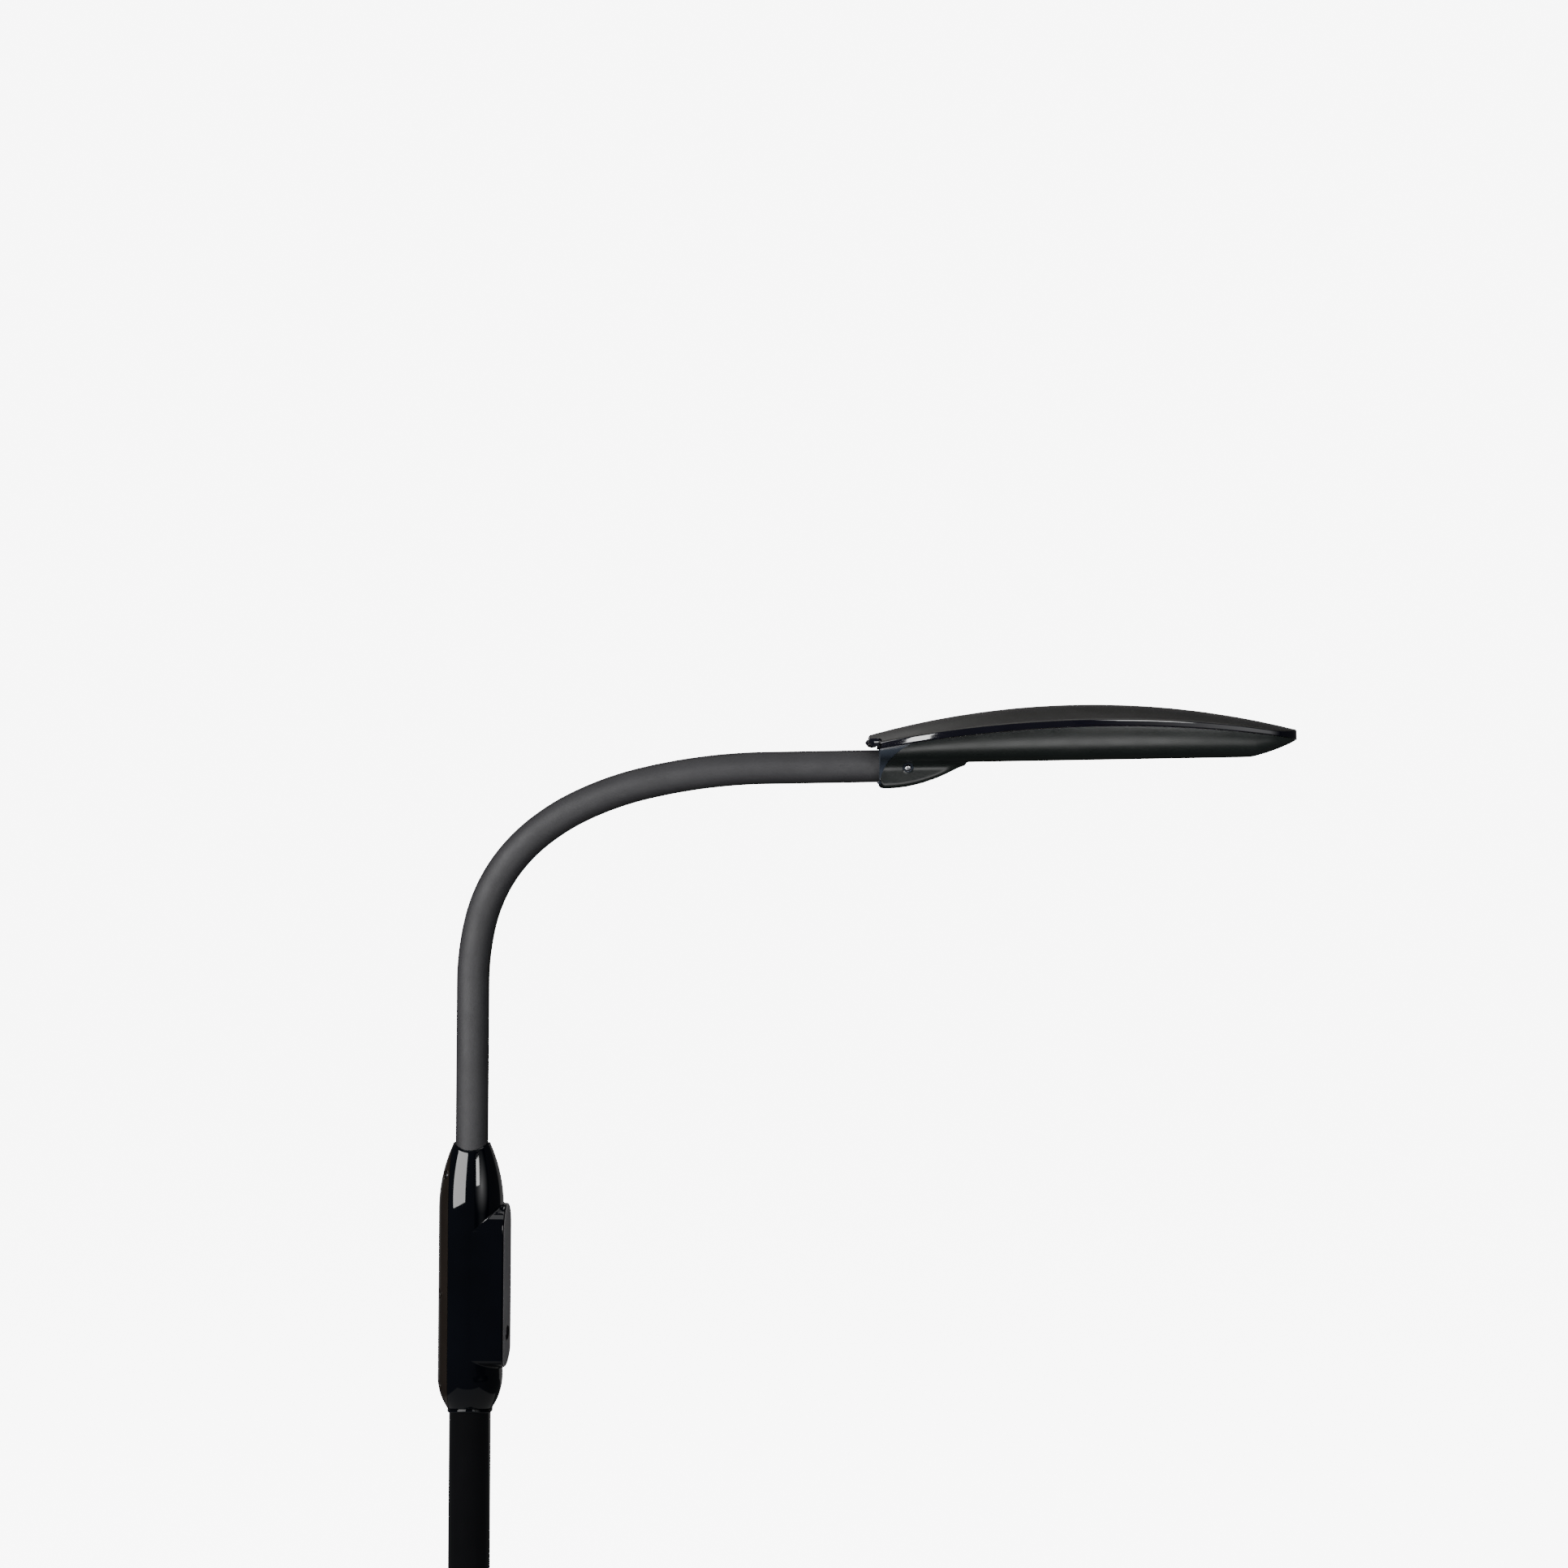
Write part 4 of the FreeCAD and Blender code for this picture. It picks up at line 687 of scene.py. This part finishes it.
SIDE_ARC, HALF_WIDTH, MIDDLE, LENGTH = 708.0, 50.0, 145.0, 322.0
LIP = 7.0
side_centre = SIDE_ARC - HALF_WIDTH
NOSE = (SIDE_ARC ** 2 - side_centre ** 2 - (LENGTH - MIDDLE) ** 2) / (2 * (SIDE_ARC - (LENGTH - MIDDLE)))
NOSE_U = LENGTH - NOSE
DOME_U, DOME_ARC, DOME_TOP, DOME_ACROSS = 155.0, 640.0, 44.6, 104.0
SEAM_U, SEAM_ARC, SEAM_TOP = 165.7, 994.0, 26.8
FLOOR, NOSE_RISE_U = 2.1, 284.5
KNUCKLE_LOW, KNUCKLE_CORNER, KNUCKLE_CORNER_U, KNUCKLE_END = -17.4, 4.0, 4.4, 76
CHEEK_HALF, CHEEK_ROUND, KNUCKLE_FILLET = 21.0, 4.5, 7.0
HULL_POWER = 2.3
ARCH_END, ARCH_REACH, ARCH_FOOT, ARCH_RISE, ARCH_POWER = 30, 29.2, -11, 28.7, 1.6
OPENING = (90.0, 275.0, 23.0)
PLAN_CORNER, EDGE_ROUND, COVER_WALL, LIP_BOTTOM = 9.0, 1.1, 2.0, 18.4
TRAY_WALL, COLLAR_WALL, COLLAR_INSET, SLOT_RADIUS = 1.5, 1.2, 0.6, 13.3
CHEEK_U, CHEEK_W, CHEEK_BORE, CHEEK_SEAT = 21.8, -1.9, 2.65, 18.9
SINK_BORE, SINK_RADIUS, SINK_INNER, SINK_OUTER = 2.7, 4.3, 19.9, 21.05


def half_width(u):
    """Half of the head's width at a place along it."""
    u = np.asarray(u, dtype=float)
    side = np.sqrt(SIDE_ARC ** 2 - (u - MIDDLE) ** 2) - side_centre
    nose = np.sqrt(np.maximum(0, NOSE ** 2 - (u - NOSE_U) ** 2))
    tangent = NOSE_U + NOSE * (NOSE_U - MIDDLE) / (SIDE_ARC - NOSE)
    return np.where(u > tangent, nose, side)


def seam_height(u):
    """Height of the seam between the cover and the tray."""
    return SEAM_TOP - SEAM_ARC + np.sqrt(SEAM_ARC ** 2 - (np.asarray(u, dtype=float) - SEAM_U) ** 2)


def dome_height(u, v):
    """Height of the cover's crown."""
    top = DOME_TOP - DOME_ARC + np.sqrt(DOME_ARC ** 2 - (u - DOME_U) ** 2)
    across = top - (DOME_TOP - DOME_ACROSS)
    return DOME_TOP - DOME_ACROSS + np.sqrt(np.maximum(0, across ** 2 - v ** 2))


def plan_outline():
    """Points and outward normals round the head's plan, from the middle of its rear edge and back to it."""
    centre_u = -LIP + PLAN_CORNER
    centre_v = side_centre - math.sqrt((SIDE_ARC - PLAN_CORNER) ** 2 - (centre_u - MIDDLE) ** 2)
    low = math.atan2(centre_v - side_centre, centre_u - MIDDLE)
    high = math.atan2(-side_centre, NOSE_U - MIDDLE)
    points, normals = [], []

    def arc(cu, cv, radius, start, stop, count):
        for angle in np.linspace(start, stop, count, endpoint=False):
            points.append((cu + radius * math.cos(angle), cv + radius * math.sin(angle)))
            normals.append((math.cos(angle), math.sin(angle)))

    for v in np.linspace(0, centre_v, 14, endpoint=False):
        points.append((-LIP, v))
        normals.append((-1.0, 0.0))
    arc(centre_u, centre_v, PLAN_CORNER, -math.pi, low, 22)
    arc(MIDDLE, side_centre, SIDE_ARC, low, high, 170)
    arc(NOSE_U, 0, NOSE, high, 0, 40)
    points.append((LENGTH, 0.0))
    normals.append((1.0, 0.0))
    points_back = [(u, -v) for u, v in points[-2:0:-1]]
    normals_back = [(a, -b) for a, b in normals[-2:0:-1]]
    return np.array(points + points_back), np.array(normals + normals_back)


def make_cover():
    """Crowned cover with an upright gloss rim round it and a lip that hooks over behind."""
    points, normals = plan_outline()
    count = len(points)
    u_edge = points[:, 0]
    bottom = np.where(u_edge < 0.2, LIP_BOTTOM, seam_height(np.maximum(u_edge, 0)))

    def ring(inset, height):
        place = points - normals * (inset + 0.05)
        return np.column_stack([place, height(place) if callable(height) else height])

    crown_edge = dome_height(points[:, 0], points[:, 1])
    rings = [ring(1.6, bottom), ring(0.35, bottom), ring(0.1, bottom + 0.12), ring(0, bottom + 0.4)]
    for share in (0.2, 0.4, 0.6, 0.8):
        rings.append(ring(0, bottom + 0.4 + (crown_edge - EDGE_ROUND - bottom - 0.4) * share))
    rim_rows = len(rings)
    for a in quarter(8):
        drop = EDGE_ROUND * (1 - math.sin(a))
        rings.append(ring(EDGE_ROUND * (1 - math.cos(a)), lambda at, d=drop: dome_height(at[:, 0], at[:, 1]) - d))
    rim_rows += 3
    for inset in (1.6, 2.4, 3.6, 5.2, 7.2):
        rings.append(ring(inset, lambda at: dome_height(at[:, 0], at[:, 1])))
    last = rings[-1][:, :2]
    spine = np.column_stack([np.clip(last[:, 0], 26, NOSE_U - 4), np.zeros(count)])
    for share in np.linspace(0, 1, 22)[1:]:
        place = last * (1 - share) + spine * share
        rings.append(np.column_stack([place, dome_height(place[:, 0], place[:, 1])]))
    faces = grid_faces(len(rings), count, wrap_columns=True)
    picks = [1 if face[0] // count < rim_rows else 0 for face in faces]
    return piece("head_cover_shell", np.concatenate(rings), faces, ["cover_plastic", "cover_rim"],
                 place=HEAD, merge=2e-6, degrees=40, picks=picks)


def section(u, inset=0.0):
    """Half section of the tray at a place along the head, from the seam's edge to the middle of its bottom."""
    top = float(seam_height(u)) - 0.25
    beyond = max(0.0, u - NOSE_RISE_U)
    floor = FLOOR + 0.22 * beyond + 0.0033 * beyond ** 2
    high = max(0.25, top - floor)
    wide = max(0.6, float(half_width(u)) - 1.2)
    curl = min(19.0, wide * 0.6)
    bottom = knuckle_bottom(u)

    def field(reach):
        v = reach * np.cos(angles)
        w = top - reach * np.sin(angles)
        across = np.maximum(0, v - (wide - curl)) / curl
        down = np.maximum(0, top - w) / high
        hull = ((across ** HULL_POWER + down ** HULL_POWER + 1e-12) ** (1 / HULL_POWER) - 1) * min(curl, high)
        if u > KNUCKLE_END:
            return hull + inset
        cheek = round_meet(v - CHEEK_HALF, bottom - w, CHEEK_ROUND)
        return round_union(hull, cheek, KNUCKLE_FILLET if bottom < FLOOR - 1 else 0.5) + inset

    angles = np.linspace(0, math.pi / 2, 700)
    reach = reach_of(field, np.zeros(700), np.full(700, 90.0))
    return np.stack([reach * np.cos(angles), top - reach * np.sin(angles)], axis=1)


def knuckle_bottom(u):
    """Height of the silhouette's bottom: round corner behind, then a curve that steepens up to the tray's floor."""
    if u < KNUCKLE_CORNER_U:
        drop = math.sqrt(max(0.0, KNUCKLE_CORNER ** 2 - (KNUCKLE_CORNER_U - u) ** 2))
        return KNUCKLE_LOW + KNUCKLE_CORNER - drop
    curve = KNUCKLE_LOW + 0.00622 * max(0.0, u - 6) ** 1.95
    blend = max(0.0, 2.0 - abs(curve - FLOOR)) ** 2 / 8
    return min(curve, FLOOR) - blend


def arch_height(u):
    """Height of the arched rear edge of the tray's satin skin."""
    share = min(1.0, max(0.0, (ARCH_END - u) / ARCH_REACH))
    return ARCH_FOOT + ARCH_RISE * (1 - share ** ARCH_POWER) ** (1 / ARCH_POWER)


def opening_half(u):
    """Half width of the opening in the tray's floor."""
    start, stop, radius = OPENING
    if not start < u < stop:
        return 0.0
    near = min(u - start, stop - u, radius)
    return math.sqrt(radius ** 2 - (radius - near) ** 2)


def resample(line, count):
    """Points at equal steps along a polyline."""
    steps = np.hypot(*np.diff(line, axis=0).T)
    along = np.concatenate([[0], np.cumsum(steps)])
    want = np.linspace(0, along[-1], count)
    return np.stack([np.interp(want, along, line[:, 0]), np.interp(want, along, line[:, 1])], axis=1)


def both_sides(sheets, rows):
    """Vertices and faces of a skin and its mirror image, from half sections of (u, v, w)."""
    vertices, faces = [], []
    for side in (1, -1):
        offset = len(vertices)
        for sheet in sheets:
            vertices += [(u, side * v, w) for u, v, w in sheet]
        faces += grid_faces(len(sheets), rows, offset=offset)
    return vertices, faces


def cheek_hole():
    """A cutter for the bore through both cheeks."""
    hole = rod_mesh("cheek_hole", CHEEK_BORE, -CUT_REACH, CUT_REACH, (CHEEK_U, 0, CHEEK_W), "Y")
    hole.data.transform(HEAD)
    return hole


def countersink(side):
    """A cutter that sinks the edge of one cheek's bore."""
    rings = [(SINK_BORE, SINK_INNER), (SINK_RADIUS, SINK_OUTER), (SINK_RADIUS, SINK_OUTER * 1.3)]
    vertices = [(CHEEK_U + radius * math.cos(a), side * across, CHEEK_W + radius * math.sin(a))
                for radius, across in rings for a in np.linspace(0, 2 * math.pi, ROUND, endpoint=False)]
    caps = [tuple(range(ROUND - 1, -1, -1)), tuple(range(2 * ROUND, 3 * ROUND))]
    mesh = bpy.data.meshes.new("cheek_sink")
    mesh.from_pydata([tuple(value * MM for value in vertex) for vertex in vertices], [],
                     grid_faces(3, ROUND, wrap_columns=True) + caps)
    work = bmesh.new()
    work.from_mesh(mesh)
    bmesh.ops.recalc_face_normals(work, faces=work.faces)
    made = from_bmesh("cheek_sink", work)
    made.data.transform(HEAD)
    return made


def make_tray():
    """Satin tray: a boat-like hull with a knuckle round the neck's end and an opening in its floor."""
    nose_stop = 318.0
    start, stop, radius = OPENING
    ends = [start + radius * (1 - math.cos(a)) for a in np.linspace(0, math.pi / 2, 14)]
    ends += [stop - radius * (1 - math.cos(a)) for a in np.linspace(math.pi / 2, 0, 14)]
    stations = sorted(set(np.round(np.concatenate([
        np.array([0.8, 1.0, 1.3, 1.7, 2.2, 2.8, 3.5, 4.4]), np.arange(5.5, 80, 1.25), np.arange(80, 90, 2.0),
        np.array(ends), np.linspace(114, 251, 44), np.linspace(276, 300, 16),
        nose_stop - (nose_stop - 300) * np.cos(np.linspace(0, math.pi / 2, 16))]), 4)))
    rows = 64
    sheets = []
    for u in stations:
        line = section(u)
        if u < ARCH_END:
            keep = line[:, 1] <= arch_height(u)
            line = line[keep] if keep.sum() > 4 else line[-5:]
        gap = opening_half(u)
        if gap:
            line = line[line[:, 0] >= gap]
            line = np.vstack([line, [gap, line[-1, 1]]])
        half = resample(line, rows)
        sheets.append(np.column_stack([np.full(rows, u), half]))
    vertices, faces = both_sides(sheets, rows)
    made = piece("head_tray_shell", vertices, faces, ["tray_plastic"], place=HEAD, merge=2e-5,
                 degrees=40)
    solidify(made, TRAY_WALL, 40)
    return drill(made, [cheek_hole(), countersink(-1), countersink(1)], 40)


def make_collar():
    """Gloss inner skin behind the arch, with the wall that the neck goes through."""
    rows = 72
    stations = np.concatenate([[0.4, 0.6, 0.9, 1.3, 1.9], np.arange(2.6, 33, 1.2)])
    sheets = []
    for u in stations:
        half = resample(section(u, inset=COLLAR_INSET), rows)
        sheets.append(np.column_stack([np.full(rows, u), half]))
    outline = sheets[0]
    # The wall runs in from the outline to the slot that the neck lies in.
    top = outline[0, 2]
    drop = top / (top + SLOT_RADIUS * math.pi / 2)
    walls = []
    slot_line = []
    for share in np.linspace(0, 1, rows):
        if share < drop:
            slot_line.append((SLOT_RADIUS, top * (1 - share / drop)))
        else:
            a = (share - drop) / (1 - drop) * math.pi / 2
            slot_line.append((SLOT_RADIUS * math.cos(a), -SLOT_RADIUS * math.sin(a)))
    slot_line = np.array(slot_line)
    for share in np.linspace(0, 1, 6)[1:]:
        flat = outline[:, 1:] * (1 - share) + slot_line * share
        walls.append(np.column_stack([np.full(rows, 0.05), flat]))
    sheets = walls[::-1] + sheets
    vertices, faces = both_sides(sheets, rows)
    made = piece("head_tray_collar", vertices, faces, ["collar_gloss"], place=HEAD, merge=2e-5,
                 degrees=45)
    solidify(made, COLLAR_WALL, 45)
    return drill(made, [cheek_hole()], 45)


cover = solidify(make_cover(), COVER_WALL, 40)
tray = make_tray()
collar = make_collar()

# Rear wall of the cover, over the neck.
WALL_HALF, WALL_STEPS = 33, 45
wall_points = []
for v in np.linspace(-WALL_HALF, WALL_HALF, WALL_STEPS):
    for u, w in ((0.5, float(seam_height(0)) + 0.3), (0.5, float(dome_height(0.5, v)) - 1.2),
                 (2.3, float(dome_height(2.3, v)) - 1.2), (2.3, float(seam_height(0)) + 0.3)):
        wall_points.append((u, v, w))
wall_faces = grid_faces(WALL_STEPS, 4, wrap_columns=True)
wall_faces += [(3, 2, 1, 0), tuple((WALL_STEPS - 1) * 4 + corner for corner in range(4))]
rear_wall = piece("head_cover_rear_wall", wall_points, wall_faces, ["cover_rim"], place=HEAD)

for made, node in ((cover, "head_cover"), (rear_wall, "head_cover"), (tray, "head_tray"), (collar, "head_tray")):
    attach(made, "head")
    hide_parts(node)

for side in (-1, 1):
    turn = Matrix.Rotation(-side * math.pi / 2, 4, "X")
    seat = HEAD @ Matrix.Translation((CHEEK_U * MM, side * CHEEK_SEAT * MM, CHEEK_W * MM)) @ turn
    screw_head(f"cheek_screw_{'ab'[side > 0]}", *CHEEK_SCREW, seat, "head", ["cheek_screws"])

# -------- stage, camera and lights


PAPER_GLOW = 8.0
STAGE_RADIUS, STAGE_CORNER, STAGE_SIDES = 14.0, 3.0, 72


def stage_sheet():
    """A pale round floor that curves up into a wall all round."""
    flat = STAGE_RADIUS - STAGE_CORNER
    profile = [(0.01, 0.0), (5.0, 0.0), (flat, 0.0)]
    for a in quarter(12, 1):
        profile.append((flat + STAGE_CORNER * math.sin(a), STAGE_CORNER * (1 - math.cos(a))))
    profile.append((STAGE_RADIUS, STAGE_RADIUS))
    vertices = [(r * math.cos(a), r * math.sin(a), z)
                for a in np.linspace(0, 2 * math.pi, STAGE_SIDES, endpoint=False) for r, z in profile]
    mesh = bpy.data.meshes.new("studio_floor")
    mesh.from_pydata(vertices, [], grid_faces(STAGE_SIDES, len(profile), wrap_rows=True))
    for polygon in mesh.polygons:
        polygon.use_smooth = True
    mesh.materials.append(node_material("studio_paper", (0.86, 0.86, 0.86), 0.9, vary=0.01, vary_scale=2.0,
                                        grain=0.02, grain_scale=60, glow=PAPER_GLOW))
    made = as_object("studio_floor", mesh)
    made.visible_glossy = made.visible_diffuse = made.visible_shadow = False


stage_sheet()

scene = bpy.context.scene
world = bpy.data.worlds.new("studio")
scene.world = world
world.use_nodes = True
world_nodes, world_links = world.node_tree.nodes, world.node_tree.links
world_nodes.clear()
world_out = world_nodes.new("ShaderNodeOutputWorld")
background = world_nodes.new("ShaderNodeBackground")
fill(background, {"Color": (0.9, 0.93, 1.0, 1), "Strength": 0.05})
world_links.new(background.outputs["Background"], world_out.inputs["Surface"])


def aimed(position, target):
    """The turn that points an object's -Z from one place to another."""
    return (Vector(target) - Vector(position)).to_track_quat("-Z", "Y").to_matrix()


def link_light(light, objects, state):
    """Let a light or a glowing sheet reach only some objects, or leave them out."""
    receivers = bpy.data.collections.new(f"{light.name}_receivers")
    for obj in objects:
        receivers.objects.link(obj)
    for entry in receivers.collection_objects:
        entry.light_linking.link_state = state
    light.light_linking.receiver_collection = receivers


def area_light(name, position, target, width, height, power, *, glossy=True, only=None, flagged=None, roll=0.0):
    """A soft light. One that isn't glossy shows in no reflection; it lights only some objects, or all but some."""
    data = bpy.data.lights.new(name, "AREA")
    data.shape = "RECTANGLE"
    data.size, data.size_y = width, height
    data.energy = power
    made = as_object(name, data)
    made.location = position
    made.rotation_euler = (aimed(position, target) @ Matrix.Rotation(math.radians(roll), 3, "Z")).to_euler()
    made.visible_camera = False
    made.visible_glossy = glossy
    if only:
        link_light(made, only, "INCLUDE")
    if flagged:
        link_light(made, flagged, "EXCLUDE")


def around(centre, azimuth, elevation, distance):
    """A point as seen from a centre; azimuth 0 is towards the camera, positive to the right."""
    a, e = math.radians(azimuth), math.radians(elevation)
    away = Vector((math.cos(e) * math.sin(a), -math.cos(e) * math.cos(a), math.sin(e)))
    return Vector(centre) + away * distance


def glow_sheet(name, position, target, width, height, strength, *, only, soft=False):
    """A bright sheet that shows only in the reflections on some objects. A soft one fades from its middle."""
    x, y = width / 2, height / 2
    mesh = bpy.data.meshes.new(name)
    mesh.from_pydata([(-x, -y, 0), (x, -y, 0), (x, y, 0), (-x, y, 0)], [], [(0, 1, 2, 3)])
    material, nodes, links = empty_material(name)
    out = nodes.new("ShaderNodeOutputMaterial")
    emission = nodes.new("ShaderNodeEmission")
    emission.inputs["Strength"].default_value = strength
    links.new(emission.outputs["Emission"], out.inputs["Surface"])
    if soft:
        where = nodes.new("ShaderNodeTexCoord")
        fit = nodes.new("ShaderNodeMapping")
        fit.inputs["Scale"].default_value = (1 / x, 1 / y, 1)
        fade = nodes.new("ShaderNodeTexGradient")
        fade.gradient_type = "QUADRATIC_SPHERE"
        amount = nodes.new("ShaderNodeMath")
        amount.operation = "MULTIPLY"
        amount.inputs[1].default_value = strength
        links.new(where.outputs["Object"], fit.inputs["Vector"])
        links.new(fit.outputs["Vector"], fade.inputs["Vector"])
        links.new(fade.outputs["Fac"], amount.inputs[0])
        links.new(amount.outputs["Value"], emission.inputs["Strength"])
    mesh.materials.append(material)
    made = as_object(name, mesh)
    made.location = position
    made.rotation_euler = aimed(position, target).to_euler()
    made.visible_camera = made.visible_diffuse = made.visible_shadow = False
    link_light(made, only, "INCLUDE")


shoulder = (0, 0, 0.84)
head_middle = (0.45, 0, 1.17)
gloss = [front_shell, boss, back_shell, collar_ring, cover]
gloss += [frame["nodes"][node] for node in ("upper_pole", "lower_pole", "pole_foot_collar", "base_cover")]
area_light("softbox_left", around(shoulder, -40, 16, 2.4), shoulder, 2.1, 1.9, 130, flagged=[tray], roll=9)
area_light("softbox_right", around(shoulder, 31, 24, 2.4), shoulder, 0.5, 0.9, 22)
area_light("overhead", (0.3, 0.0, 3.1), (0.3, 0, 1.0), 2.4, 1.6, 15)
area_light("back_left", around(shoulder, -150, 40, 2.6), shoulder, 0.9, 1.2, 16, glossy=False)
area_light("back_right", around(shoulder, 150, 45, 2.6), shoulder, 0.9, 1.2, 16, glossy=False)
area_light("rim_strip", (-0.09, -1.6, 1.22), (0.34, -0.04, 1.18), 0.115, 0.35, 4.3, only=[cover])
area_light("low_card", around(head_middle, 4, -34, 2.0), head_middle, 2.2, 0.9, 24, only=[tray, *neck_skins])
area_light("knuckle_card", around(head_middle, -40, -5, 2.0), (0.33, 0, 1.15), 0.7, 0.7, 0.6, only=[tray])
glow_sheet("soft_glow", around(shoulder, 45, 12, 2.6), shoulder, 2.8, 3.0, 2.6, soft=True, only=gloss)
glow_sheet("studio_table", (0, -0.2, 0.005), (0, -0.2, 1.0), 1.8, 1.8, 0.22, only=gloss)
glow_sheet("studio_wall", (0.2, 2.4, 0.9), (0.2, 0, 0.9), 5.0, 2.4, 0.3, only=gloss)
glow_sheet("back_glow", around(shoulder, -170, 50, 2.6), shoulder, 1.6, 1.2, 4.0, soft=True, only=gloss)

camera_data = bpy.data.cameras.new("camera")
camera_data.sensor_width = 36.0
camera_data.lens = 50.68
camera = as_object("camera", camera_data)
camera.location = (0.2382, -1.70, 1.1435)
camera.rotation_euler = (math.pi / 2, -math.radians(0.43), 0)
scene.camera = camera
